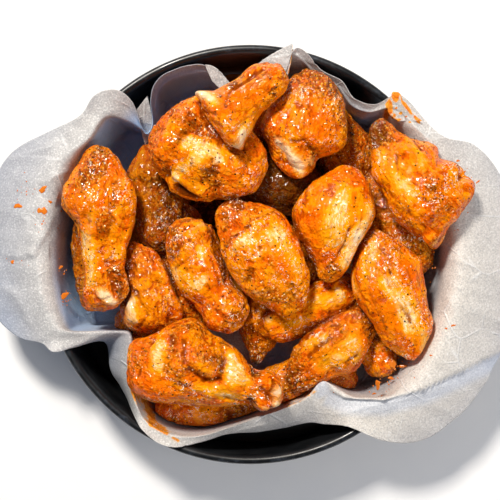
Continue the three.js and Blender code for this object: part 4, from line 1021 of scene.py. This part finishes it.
         left=(12, 21, 24, 27, 26, 25, 16), right=(13, 20, 22, 24, 25, 25, 11), seed=22, mesh=fine, gloss=0.4,
         marks=[(0.65, 14, 0.65, 4, 9, 4), (0.43, 24, 0.4, -4, 2.6, -3.4), (-0.3, -6, 0.35, -7, 3, -2.4),
                (-0.2, 22, 0.2, 26, 5, 3), (0.7, -12, 0.6, -16, 8, 3), (0, 6, 0, 6, 9, 2.5)], tone=0.1,
         folds=[(-0.35, 20, 0.3, 21, 1.6, 1.6), (-0.15, 24, 0.15, 25, 2.2, -3.6),
                (-0.4, 26, 0.25, 28, 1.6, 1.4),
                (0.1, 14, 0.15, 9, 1.2, -0.8), (-0.35, 14, -0.25, 4, 1.6, -0.8), (0.1, -1, 0.14, -3, 1.2, -1),
                (-0.42, 16, -0.38, -2, 1.5, -1), (0.2, 18, 0.25, 8, 1.2, -0.6), (-0.1, 16, 0, 8, 1.3, 0.7),
                (0.55, 18, 0.85, 14, 1.6, -1), (0.55, 2, 0.9, 4, 1.6, -1), (0.2, -5, 0.7, -4, 1.6, -1),
                (-0.7, 10, -0.65, -6, 1.5, -0.7)],
         pale=[(-0.22, 1, 0.35, 2, 4, 1.2), (0.1, 8, 0.32, 22, 4.5, 1.2), (-0.1, -3, 0.15, -3, 3, 0.8),
               (-0.3, 21, 0.2, 22, 2, 0.7), (0.38, 6, 0.38, -2, 2.5, 0.7), (0.68, 4, 0.72, 1, 3, 0.6)],
         bone=[(-0.24, 2, -0.2, 3, 2.2, 0.9), (-0.15, 0, 0.1, -1, 2, 0.6), (0.18, 2, 0.3, 3, 2, 0.5),
               (-0.2, 22, 0.1, 23, 1.2, 0.5)],
         browned=[(0.55, 22, 0.9, 8, 7, 0.5), (0.5, -6, 0.8, -12, 7, 0.45), (0.2, -5, 0.5, -8, 4, 0.5),
                  (-0.38, 17, -0.15, 7, 5, 0.85), (0.45, 22, 0.47, 0, 2.2, 0.9), (-0.35, 25, 0.3, 27, 3, 0.6),
                  (0.05, -4, 0.1, -5, 2, 0.6)],
         red=[(-0.7, 0, -0.5, -12, 8, 0.5), (0.6, 18, 0.85, 8, 7, 0.9), (0.4, -6, 0.8, -10, 7, 0.8),
              (-0.4, 16, -0.2, 6, 5, 0.5)],
         paintedShade=[(-0.12, 24, 0.12, 25, 2.6, 1)]),
    dict(node="drumette_on_top", at=(-1.5, 84.5, 70), heading=-143, pitch=8, long=50, deep=0.85,
         left=(7, 9.5, 10.3, 12, 15, 18.5, 18), right=(7, 12, 13.5, 13, 12.5, 13.5, 11.5), seed=23,
         mesh=fine, gloss=0.6,
         marks=[(0.85, 15, 0.9, 12, 5, 2), (0.7, -12, 0.7, -16, 3.4, 5.5),
                (0.86, -12, 0.84, -16, 2.5, -2)], tone=0.08, shade=0.04,
         folds=[(-0.6, -7, 0.15, -8, 1.5, -1.8), (0.5, 2, 0.9, 6, 1.5, 0.7), (0.6, -2, 0.66, -14, 1.5, -1.3),
                (0.4, 10, 0.8, 12, 1.6, -0.6), (0.2, -9, 0.5, -5, 1.3, -0.8), (0.1, 8, 0.45, 9, 1.2, 0.6),
                (0.88, -2, 0.95, -10, 1.4, -1)],
         pale=[(0.45, 14, 0.85, 17, 4, 1.0), (0.2, 9, 0.65, 12, 2.6, 0.7), (0.7, -7, 0.7, -15, 3.4, 1.2),
               (0.95, 4, 0.97, -8, 3, 0.6), (0.55, 4, 0.7, 8, 3, 0.5)],
         bone=[(0.62, 15, 0.9, 17, 3.8, 1.4), (0.7, -10, 0.7, -15, 3, 1.2)],
         browned=[(-0.8, -9, 0.2, -10, 2.2, 1), (0.52, -8, 0.9, -8.5, 1, 0.9),
                  (-0.85, 3, -0.95, -6, 3, 0.7), (-0.55, 5, -0.3, 9, 3, 0.6),
                  (-0.6, -3, -0.3, -2, 3, 0.5)],
         red=[(-0.2, 3, 0.6, -2, 8, 0.6), (0.2, -8, 0.5, -11, 4, 0.5)]),
]


def blunt(end):
    # how wide a piece is at an end value, as a share: (1 - |end|^b)^(1/b)
    return (1 - np.minimum(1, np.abs(end)) ** skin["blunt"]) ** (1 / skin["blunt"])


def halfWidths(wing, end):
    # the half widths to the left and right at any end value, smooth through the stations and round at the
    # ends
    rows = np.array([wing["left"], wing["right"]], float) / blunt(stationsAt)
    place = np.clip((end - stationsAt[0]) / (stationsAt[1] - stationsAt[0]), 0, len(stationsAt) - 1.001)
    return pastStations(rows.T, place).T * blunt(end)


def bodyPoints(wing, end, turn):
    # Points of a piece before it is placed: across, the half width to that side times the cosine of the turn
    # round it, and up, its depth times the sine. The way out is that of an ellipsoid of the same size.
    left, right = halfWidths(wing, end)
    across, up = np.cos(turn), np.sin(turn)
    longHalf, widest = wing["long"] / 2, max(wing["left"] + wing["right"])
    points = np.stack([end * longHalf, np.where(across > 0, left, right) * across,
                       up * wing["deep"] * (left + right) / 2], axis=-1)
    out = np.stack([end / longHalf, across * blunt(end) / widest, up * blunt(end) / widest], axis=-1)
    return points, out / np.linalg.norm(out, axis=-1, keepdims=True)


def markPoint(wing, end, side):
    # the point of the upper skin at an end value and so many mm to the left
    left, right = halfWidths(wing, np.array([float(end)]))[:, 0]
    turn = math.acos(np.clip(side / max(left if side > 0 else right, 0.001), -1, 1))
    return bodyPoints(wing, np.array([float(end)]), np.array([turn]))[0][0]


def alongLines(wing, lines, points):
    # the sum over lines of amount times exp(-distance^2 / radius^2)
    total = np.zeros(len(points))
    for endA, sideA, endB, sideB, radius, amount in lines:
        a, b = markPoint(wing, endA, sideA), markPoint(wing, endB, sideB)
        run = b - a
        t = np.clip(((points - a) @ run) / max(run @ run, 1e-9), 0, 1)
        total += amount * np.exp(-((points - a - t[:, None] * run) ** 2).sum(1) / radius ** 2)
    return total


def unevenness(points, seed):
    # the mean of sin(2 pi distance / wave length) along ways spread evenly over the sphere, times the wave
    # height
    total = np.zeros(len(points))
    for i in range(skin["waves"]):
        up = 1 - (2 * i + 1) / skin["waves"]
        turn = skin["goldenAngle"] * (i + seed)
        way = np.array([math.sqrt(1 - up * up) * math.cos(turn), math.sqrt(1 - up * up) * math.sin(turn), up])
        total += np.sin(2 * np.pi * (points @ way) / (skin["waveLength"] * (1 + 0.13 * i)) + 1.7 * seed + i)
    return skin["waveHeight"] * total / skin["waves"]


def placement(wing):
    # the turn by heading after the tip by pitch
    heading, pitch = math.radians(wing["heading"]), math.radians(-wing.get("pitch", 0))
    c, s = math.cos(heading), math.sin(heading)
    turned = np.array([[c, -s, 0], [s, c, 0], [0, 0, 1]])
    c, s = math.cos(pitch), math.sin(pitch)
    return turned @ np.array([[c, 0, s], [0, 1, 0], [-s, 0, c]])


def depthIn(wing, points):
    # how far points lie inside another piece, in mm, and negative outside it, from its widths at their place
    local = (points - np.array(wing["at"])) @ placement(wing)
    end = local[:, 0] / (wing["long"] / 2)
    left, right = halfWidths(wing, np.clip(end, -0.98, 0.98))
    half = np.where(local[:, 1] > 0, left, right)
    thick = wing["deep"] * (left + right) / 2
    share = np.sqrt((local[:, 1] / half) ** 2 + (local[:, 2] / thick) ** 2)
    return np.minimum((1 - share) * np.minimum(half, thick), (1 - np.abs(end)) * wing["long"] / 2)


def saucedSkin():
    # Fried chicken skin under a sticky chilli and butter sauce: orange where the sauce lies thin, red where
    # it pools, brown where the skin crisped, yellow where fat and flesh show. It is wet, so it has a clear
    # hard coat of shine. Glints and sparkles are also painted in, and shade is painted into creases, where
    # pieces touch and over pieces that lie in shadow.
    material, tree, shader = newMaterial("sauced chicken skin")
    # own is the place in the piece itself, with x along it
    place = addNode(tree, "ShaderNodeAttribute", attribute_name="own").outputs["Vector"]
    values = {}
    for paints, names in (("bared", ("pale", "bone", "red")), ("cookedAndShaded", ("browned", "relief", "paintedShade"))):
        paint = addNode(tree, "ShaderNodeAttribute", attribute_name=paints).outputs["Color"]
        values.update(zip(names, addNode(tree, "ShaderNodeSeparateColor", {0: paint}).outputs))
    addPatterns(tree, place, {
        "patches": (15, 3, 0.55, 0.6, 1), "mottle": (5.2, 3, 0.6, 0.8, 1), "grit": (2.6, 2, 0.55, 0, 1),
        "grain": (1.15, 1, 0.5, 0, 1), "strands": (3.6, 3, 0.55, 1.0, 0.4),
        "strokes": (1.5, 2, 0.5, 0.8, 0.5), "splits": (8, 3, 0.6, 1.5, 1), "paintedGlintWaves": (4.4, 2, 0.5, 2.2, 1),
        "paintedGlintGaps": (2.3, 1, 0.5, 0, 1), "paintedGlintPatches": (17, 1, 0.5, 0, 1), "ripple": (6.5, 1, 0.4, 0.9, 1),
    }, values)
    addSteps(tree, [
        ("seams", "SUBTRACT", "strands", 0.5),
        ("seams", "ABSOLUTE", "seams"),
        ("crust", "MULTIPLY_ADD", "mottle", 1.8, -0.95),
        ("crust", "ADD", "crust", "browned"),
        ("edge", "ADD", "mottle", "strands"),
        ("edge", "SUBTRACT", "edge", 1),
        ("paleEdge", "MULTIPLY_ADD", "pale", 1.1, "edge"),
        ("redEdge", "MULTIPLY_ADD", "edge", 0.7, "red"),
        ("boneEdge", "MULTIPLY_ADD", "edge", 0.9, "bone"),
        ("charEdge", "MULTIPLY_ADD", "grit", 2.6, -1.5),
        ("charEdge", "ADD", "charEdge", "crust"),
        ("speckled", "MULTIPLY_ADD", "crust", 0.65, 0.13),
        ("speckled", "MINIMUM", "speckled", 1),
        ("speckled", "MAXIMUM", "speckled", 0),
        ("speckled", "MULTIPLY_ADD", "pale", -0.42, "speckled"),
        ("speckled", "MAXIMUM", "speckled", 0),
        ("stroked", "RAMP", "strokes", 0.48, 0.6, 0, 1),
        ("cracks", "SUBTRACT", "splits", 0.5),
        ("cracks", "ABSOLUTE", "cracks"),
        ("cracked", "RAMP", "crust", 0.1, 0.6, 0, 0.75),
        ("calm", "RAMP", "pale", 0.1, 0.7, 1, 0.3),
        # thin wavy lines of painted glints on beads of clear fat, kept in gaps and patches
        ("paintedGlints", "SUBTRACT", "paintedGlintWaves", 0.5),
        ("paintedGlints", "ABSOLUTE", "paintedGlints"),
        ("paintedGlintGaps", "RAMP", "paintedGlintGaps", 0.5, 0.58, 0, 1),
        ("paintedGlintPatches", "RAMP", "paintedGlintPatches", 0.48, 0.58, 0, 0.95),
        # how many cream flecks of painted sparkle are kept, more on crust
        ("paintedSparkle", "MULTIPLY_ADD", "mottle", 1.1, -0.46),
        ("paintedSparkle", "MULTIPLY_ADD", "crust", 0.12, "paintedSparkle"),
        ("pepper", "MULTIPLY_ADD", "patches", 0.8, -0.26),
        ("pepper", "MULTIPLY_ADD", "browned", 0.35, "pepper"),
    ], values, "SMOOTHSTEP")
    for fleck, size, radius in (("paintedSparkle", 1.5, 0.3), ("pepper", 2.6, 0.2)):
        # a spot in each cell of that size, its radius a share of the cell; the higher the value, the more are
        # kept
        cells = addNode(tree, "ShaderNodeTexVoronoi", {"Vector": place, "Scale": 1 / (metres * size)})
        chosen = addNode(tree, "ShaderNodeSeparateColor", {0: cells.outputs["Color"]}).outputs
        values.update(chance=chosen[0], spread=chosen[1], distance=cells.outputs["Distance"])
        addSteps(tree, [
            ("spread", "MULTIPLY_ADD", "spread", 0.6 * radius, 0.7 * radius),
            (fleck + "Inside", "SUBTRACT", "spread", "distance"),
            (fleck + "Inside", "MULTIPLY", fleck + "Inside", 12),
            (fleck + "Kept", "SUBTRACT", fleck, "chance"),
            (fleck + "Kept", "MULTIPLY", fleck + "Kept", 30),
            (fleck + "Kept", "RAMP", fleck + "Kept", 0, 1, 0, 1),
        ], values, "SMOOTHSTEP")
    colour = addCoats(tree, toLinear("#EE6600"), [
        ("patches", 0.42, 0.58, 1, "#FF9200"),
        ("strands", 0.53, 0.61, 0.6, "#FF980A"),
        ("mottle", 0.49, 0.35, 0.9, "#BC4800"),
        ("paleEdge", 0.28, 0.48, 0.85, "#FC8C06"),
        ("paleEdge", 0.62, 0.9, 0.8, "#FFA60A"),
        ("paleEdge", 1.0, 1.35, 0.7, "#FFBC58"),
        ("paleEdge", 0.9, 1.4, 1, "#FFDCA8", "stroked"),
        ("redEdge", 0.25, 0.6, 0.7, "#F06800"),
        ("crust", 0.3, 0.8, 0.6, "#AC5202"),
        # painted highlights: light strokes on the wet skin
        ("strokes", 0.54, 0.66, 1, "#FFAC24", "speckled"),
        ("strokes", 0.46, 0.34, 1, "#A43C00", "speckled"),
        # painted glints: light grains
        ("grain", 0.56, 0.7, 1, "#FFBA50", "speckled"),
        ("grain", 0.42, 0.28, 0.6, "#9C4200", "speckled"),
        ("seams", 0.022, 0, 0.45, "#A03800"),
        ("cracks", 0.016, 0.004, 1, "#622000", "cracked", "calm"),
        ("charEdge", 0.5, 1.1, 0.75, "#602400"),
        # darker in creases and where pieces touch: partly pooled sauce, partly painted shade
        ("relief", 0.44, 0.2, 0.85, "#8E3600"),
        ("boneEdge", 0.25, 0.6, 0.5, "#FFBC68"),
        ("boneEdge", 0.6, 1.05, 0.9, "#F8D6A8"),
        # painted sparkle: small cream flecks
        ("paintedSparkleInside", 0, 1, 0.8, "#FFDCA6", "paintedSparkleKept"),
        # painted glints: thin near-white wavy lines
        ("paintedGlints", 0.026, 0.008, 1, "#FFF2DC", "paintedGlintGaps", "paintedGlintPatches"),
        ("pepperInside", 0, 1, 0.97, "#140802", "pepperKept"),
    ], values, "SMOOTHSTEP")
    # painted shade: the dark lines in deep hollows and the shade over pieces that lie in shadow
    colour = addCoats(tree, colour, [("paintedShade", 0, 1, 1, "#1E0D05")], values, "LINEAR")
    addSteps(tree, [
        ("swell", "ADD", "strands", "mottle"),
        ("swell", "MULTIPLY", "swell", 0.8),
        ("gritty", "MULTIPLY_ADD", "crust", 0.4, 0.45),
        ("gritty", "MULTIPLY", "gritty", "calm"),
        ("swell", "MULTIPLY_ADD", "grit", "gritty", "swell"),
        ("grainy", "MULTIPLY_ADD", "crust", 0.22, 0.14),
        ("grainy", "MULTIPLY", "grainy", "calm"),
        ("swell", "MULTIPLY_ADD", "grain", "grainy", "swell"),
        ("film", "MULTIPLY", "ripple", 1.1),
        ("pitted", "MULTIPLY", "crust", 0.4),
        ("film", "MULTIPLY_ADD", "grit", "pitted", "film"),
    ], values, "SMOOTHSTEP")
    for name, side in (("swell", "Normal"), ("film", "Coat Normal")):
        bump = addNode(tree, "ShaderNodeBump", {"Height": values[name], "Strength": 1.0, "Distance": 0.0022})
        feed(tree, shader, {side: bump.outputs[0]})
    feed(tree, shader, {
        "Base Color": colour, "Roughness": 0.55, "IOR": 1.45, "Specular IOR Level": 0.02, "Coat Weight": 0.7,
        "Coat Roughness": 0.08, "Coat IOR": 1.5, "Subsurface Weight": 0.18,
        "Subsurface Radius": (1.0, 0.4, 0.05), "Subsurface Scale": 0.003,
    })
    return material


def paperLimit(points):
    # the radius that food keeps within: the wall as in sheetGrid, and above its fold a cone that opens
    # upwards
    full = np.array([360, 0, 0, 0, 0, 0])
    closed = np.concatenate([folds[-1:] - full, folds, folds[:1] + full])
    turn = np.degrees(np.arctan2(points[:, 1], points[:, 0])) % 360
    lip, top = [np.interp(turn, closed[:, 0], closed[:, column]) for column in (1, 2)]
    foot = np.minimum(sheet["mostFoot"], lip - sheet["footInset"])
    floor, height = sheet["floor"], points[:, 2]
    part = np.clip((height - floor) / (top - floor), 0, 1) ** (1 / sheet["cornerRise"])
    wall = foot + (np.minimum(lip, sheet["mostWall"]) - foot) * (1 - (1 - part) ** 2)
    return wall - skin["paperGap"] + np.maximum(height - top, 0) * skin["coneSlope"]


def wingSurface(wing):
    # Rings from end to end, -cos of even steps, and round each ring even turns. Each point moves out by
    # unevenness + marks + creases + relief + lumps - dip x contact. contact is exp(-(gap / reach)^2) to the
    # nearest other piece. relief is, where the skin is rough, wrinkle x (0.4 - exp(-(noise / width)^2)) +
    # pimple x spots + crag x noise.
    rings, around = wing["mesh"]
    seed, middle, turned = wing["seed"], np.array(wing["at"]), placement(wing)
    ends = -np.cos(np.pi * (np.arange(rings) + 1) / (rings + 1))
    turns = 2 * np.pi * np.arange(around) / around
    end = np.concatenate([np.repeat(ends, around), [-1.0, 1.0]])
    body, out = bodyPoints(wing, end, np.concatenate([np.tile(turns, rings), [0.0, 0.0]]))
    placed, outward = body @ turned.T + middle, out @ turned.T
    own = body + skin["apart"] * seed

    contact = np.zeros(len(body))
    for other in heap:
        if other is not wing and np.linalg.norm(middle - other["at"]) < (wing["long"] + other["long"]) / 2:
            gap = np.maximum(-depthIn(other, placed), 0)
            contact = np.maximum(contact, np.exp(-(gap / skin["contactReach"]) ** 2))

    paints = {key: alongLines(wing, wing.get(key, []), body)
              for key in ("pale", "bone", "red", "browned", "paintedShade")}
    browned = paints["browned"] + wing["tone"]
    rough = np.clip(1 - skin["bareCalm"] * paints["pale"], 1 - skin["bareCalm"], 1)
    rough = rough * (1 - wing.get("gloss", skin["gloss"]) * np.clip(1.2 - browned, 0, 1))
    veins = layered(own * [0.5, 1.0, 1.0], skin["wrinkleSize"], 2, seed)
    grooves = np.exp(-(veins / skin["grooveWide"]) ** 2)
    pimples = smoothStep(nearestSpot(own, skin["pimpleSize"], seed), 0.55, 0.1)
    crags = layered(own, skin["cragSize"], 3, seed + 5, 0.65) * (0.5 + 0.9 * np.clip(browned, 0, 1))
    relief = rough * (skin["wrinkle"] * (0.4 - grooves) + skin["pimple"] * pimples + skin["crag"] * crags)
    creases = alongLines(wing, wing.get("folds", []), body)
    lumps = skin["lump"] * layered(own, skin["lumpSize"], 2, seed + 11, 0.6)
    lift = (unevenness(body, seed) + alongLines(wing, wing["marks"], body) + creases + relief + lumps
            - skin["contactDip"] * contact)
    points = (body + out * lift[:, None]) @ turned.T + middle

    low, high = [np.array(corner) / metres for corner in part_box(wing["node"])]
    slack = skin["slack"]
    points = np.clip(points, low - [slack, slack, skin["slackBelow"]], high + slack)
    limit = paperLimit(points)
    points[:, :2] *= np.minimum(limit / np.hypot(points[:, 0], points[:, 1]), 1.0)[:, None]

    # for the colour: lower in creases and where pieces touch, darker there from pooled sauce and painted
    # shade
    creaseSauceAndShade = 0.5 + 0.35 * (relief + 0.8 * np.minimum(creases, 0.4)) - skin["contactShade"] * contact
    bared = np.stack([paints["pale"], paints["bone"], paints["red"] + skin["contactRed"] * contact], axis=1)
    # painted shade: the dark lines, and shade over a whole piece in shadow
    paintedShade = np.clip(paints["paintedShade"] + wing.get("shade", 0), 0, 1)
    cookedAndShaded = np.stack([browned + skin["contactBrown"] * contact, np.clip(creaseSauceAndShade, 0, 1), paintedShade], axis=1)
    looks = {"bared": np.clip(bared, 0, 1.5), "cookedAndShaded": np.clip(cookedAndShaded, 0, 1.5), "own": own * metres}

    # pepper sticks to crust that faces up and isn't covered, by area
    left, right = halfWidths(wing, np.clip(end, -0.99, 0.99))
    area = wing["long"] * np.sqrt(np.maximum(1 - end ** 2, 0)) * (left + right) / (rings * around)
    crusted = skin["pepperLeast"] + np.clip(browned + layered(own, skin["pepperPatches"], 2, 90), 0, 1.5)
    peppered = area * smoothStep(outward[:, 2], 0.1, 0.5) * crusted * (1 - np.clip(contact, 0, 1))
    return points, closedFaces(rings, around), looks, outward, peppered * (len(wing["marks"]) > 1)


def makeWings():
    glaze = saucedSkin()
    spots = []
    for wing in heap:
        points, faces, looks, outward, peppered = wingSurface(wing)
        spots.append((points, outward, peppered))
        piece = putMesh("sauced_" + wing["node"], points, faces, glaze, looks)
        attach(piece, "root")
        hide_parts(wing["node"])
    return [np.concatenate(part) for part in zip(*spots)]


wingPlaces, wingNormals, pepperShare = makeWings()
print("wings made")


pepper = {"count": 1000, "least": 0.3, "most": 0.68, "sunk": 0.05}


def crackedPepper():
    # crushed black peppercorns: rough, nearly black husk with browner broken faces
    material, tree, shader = newMaterial("cracked black pepper")
    place = addNode(tree, "ShaderNodeTexCoord").outputs["Object"]
    husk = addNode(tree, "ShaderNodeTexNoise", {"Vector": place, "Scale": 1800.0, "Detail": 2.0})
    low, high = toLinear("#0B0603"), toLinear("#3A2010")
    tint = addNode(tree, "ShaderNodeMix", {0: husk.outputs[0], 6: low, 7: high}, data_type="RGBA")
    feed(tree, shader, {"Base Color": tint.outputs[2], "Roughness": 0.6, "Specular IOR Level": 0.15})
    return material


def makePepper():
    # each flake is a squashed octahedron, turned at random and set into the skin where the crust is peppered
    chosen = draws.choice(len(wingPlaces), pepper["count"], replace=False, p=pepperShare / pepperShare.sum())
    corner = np.array([[1, 0, 0], [0, 1, 0], [-1, 0, 0], [0, -1, 0], [0, 0, 1], [0, 0, -1]], float)
    side = np.array([[0, 1, 4], [1, 2, 4], [2, 3, 4], [3, 0, 4], [1, 0, 5], [2, 1, 5], [3, 2, 5], [0, 3, 5]])
    size = draws.uniform(pepper["least"], pepper["most"], (len(chosen), 1, 1))
    shape = corner * size * draws.uniform(0.55, 1, (len(chosen), 1, 3))
    frames, _ = np.linalg.qr(draws.normal(size=(len(chosen), 3, 3)))
    frames *= np.sign(np.linalg.det(frames))[:, None, None]
    points = shape @ frames.transpose(0, 2, 1) + (wingPlaces + pepper["sunk"] * wingNormals)[chosen][:, None]
    faces = (side + len(corner) * np.arange(len(chosen))[:, None, None]).reshape(-1, 3)
    piece = putMesh("pepper_flakes", points.reshape(-1, 3), faces, crackedPepper(), smooth=False)
    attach(piece, "root")


makePepper()
print("pepper made")


# Drops that fell on the sheet, seen from above: x, y, half length, half width, turn.
drops = [
    (-115.5, 36.2, 2.3, 1.5, 25), (-130.1, 27.2, 2.1, 1.5, -10), (-115.5, 24.4, 2.4, 2.2, 0),
    (-111.6, 29.4, 0.9, 0.8, 0), (-107.6, 24.9, 0.9, 0.7, 0), (-133.4, -4.2, 1.3, 0.9, 0),
    (-105.4, -23.3, 2.3, 1.5, 20), (-107.6, -7.3, 1.2, 0.8, 30), (81.3, -62.5, 1.7, 3.0, 10),
    (86.9, -63.6, 2.0, 0.9, 15), (80.2, -70.4, 1.8, 0.8, 0), (71.2, -72.6, 1.4, 2.4, 5),
    (69.5, -78.0, 1.2, 0.5, 0),
    (48.2, -76.5, 1.6, 1.1, 20), (100.9, -56.3, 0.7, 0.6, 0), (113.2, -39.5, 1.2, 0.6, 20),
    (109.3, -41.2, 0.8, 0.5, 0), (104.8, 1.4, 0.6, 0.7, 0), (105.5, -7.6, 0.6, 0.5, 0),
    (119.4, 45.7, 1.5, 0.6, 30),
    (116.3, 52.4, 0.9, 0.7, 0), (128.1, 40.9, 1.3, 0.5, 40),
]
spatters = [  # x, y, spread in x and y, how many
    (-126, 37, 4, 3, 14), (-114, 18, 3.5, 4, 22), (-104, -25, 3.5, 2.5, 16), (-107, -9, 2, 2, 8),
    (-130, -4, 4, 1, 6),
    (115, 22, 3, 5, 18), (118, 47, 3, 4, 12), (84, -66, 5, 4, 26), (76, -74, 4, 4, 14), (104, -4, 2.5, 7, 8),
    (88, -60, 5, 3, 12),
]
pools = [(-12, 103.5, 1.25, 13, 6, 6, 0.9)]  # x, y, what it lies on, half length and width, turn, height
drop = {
    "around": 28, "rings": 7, "tall": 0.4, "lift": 0.2, "under": 0.25, "round": 0.6, "thin": 0.25,
    "waves": [(0.22, 2, 1), (0.16, 3, 2.3), (0.1, 5, 1)],  # of the outline: share, count, shift per seed
    "merge": 1.1,  # mm^2 over which heights of the sheet are averaged
}


def chilliSauce():
    # butter and chilli sauce lying free: clear orange-red, wet and glossy, darker where it is thick
    material, tree, shader = newMaterial("chilli butter sauce")
    place = addNode(tree, "ShaderNodeTexCoord").outputs["Object"]
    values = {"deep": addNode(tree, "ShaderNodeAttribute", attribute_name="deep").outputs["Fac"]}
    addPatterns(tree, place, {"cloud": (2.63158, 3, 0.5, 0, 1)}, values)
    colour = addCoats(tree, toLinear("#D2620C"), [
        ("cloud", 0, 1, 1, "#F09030"),
        ("deep", 0, 1, 1, "#7A2A08"),
    ], values, "LINEAR")
    bump = addNode(tree, "ShaderNodeBump", {"Height": values["cloud"], "Strength": 0.4, "Distance": 0.0006})
    feed(tree, shader, {"Base Color": colour, "Normal": bump.outputs[0], "Roughness": 0.16, "IOR": 1.42})
    return material


def sheetHeight(points, place, reach):
    # height of the sheet under each point: the mean of its places near by, weighted by exp(-distance^2 /
    # merge)
    near = paperPlaces[(np.abs(paperPlaces - place) < [reach, reach, 2.5 * reach]).all(1)]
    away = ((points[:, None, :2] - near[None, :, :2]) ** 2).sum(2)
    weight = np.exp(-(away - away.min(1, keepdims=True)) / drop["merge"])
    return (weight * near[:, 2]).sum(1) / weight.sum(1)


def sauceDrop(place, long, wide, turn, tall, seed, deep):
    # A low dome on the surface: rings of radius share r with the outline swelling by waves round it, and
    # height (1 - r^2) to the power 0.6, closed by a point below.
    share = ((np.arange(drop["rings"]) + 1) / drop["rings"])[:, None]
    turns = 2 * np.pi * np.arange(drop["around"]) / drop["around"]
    outline = 1 + sum(part * np.sin(count * turns + shift * seed) for part, count, shift in drop["waves"])
    c, s = math.cos(math.radians(turn)), math.sin(math.radians(turn))
    u, v = share * long * outline * np.cos(turns), share * wide * outline * np.sin(turns)
    up = tall * (1 - share ** 2) ** drop["round"] + 0 * turns
    rings = np.stack([u * c - v * s, u * s + v * c, up], axis=2).reshape(-1, 3)
    points = np.concatenate([rings, [[0, 0, tall], [0, 0, -drop["under"]]]]) + place + [0, 0, drop["lift"]]
    faces = [group[:, ::-1] for group in closedFaces(drop["rings"], drop["around"])]
    depth = np.concatenate([(deep * (1 - share ** 3) + 0 * turns).ravel(), [deep, deep]])
    return points, faces, depth


def makeDrops():
    rows = list(drops)
    for x, y, spreadX, spreadY, count in spatters:
        for spot in draws.normal(size=(count, 2)) * [spreadX, spreadY]:
            size = draws.uniform(0.18, 0.5)
            rows.append([x + spot[0], y + spot[1], size, size * draws.uniform(0.5, 1), draws.uniform(0, 180)])
    made = []
    for seed, (x, y, long, wide, turn) in enumerate(rows):
        away = (paperPlaces[:, 0] - x) ** 2 + (paperPlaces[:, 1] - y) ** 2
        place = paperPlaces[np.argmin(away - 0.02 * paperPlaces[:, 2])]
        tall = drop["tall"] * min(1, wide)
        points, faces, depth = sauceDrop((x, y, 0), long, wide, turn, tall, seed, drop["thin"])
        points[:, 2] += sheetHeight(points, place, 2.2 * max(long, wide) + 3)
        made.append((points, faces, depth))
    for seed, (x, y, z, long, wide, turn, tall) in enumerate(pools):
        made.append(sauceDrop((x, y, z - drop["lift"]), long, wide, turn, tall, seed + 0.4, 1.0))
    allPoints, allFaces, depths = zip(*made)
    starts = np.cumsum([0] + [len(points) for points in allPoints])
    quads = [faces[0] + start for faces, start in zip(allFaces, starts)]
    triangles = [fan + start for faces, start in zip(allFaces, starts) for fan in faces[1:]]
    faces = [np.concatenate(quads), np.concatenate(triangles)]
    piece = putMesh("sauce_drops", np.concatenate(allPoints), faces, chilliSauce(),
                    {"deep": np.concatenate(depths)})
    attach(piece, "root")


makeDrops()
print("sauce made")
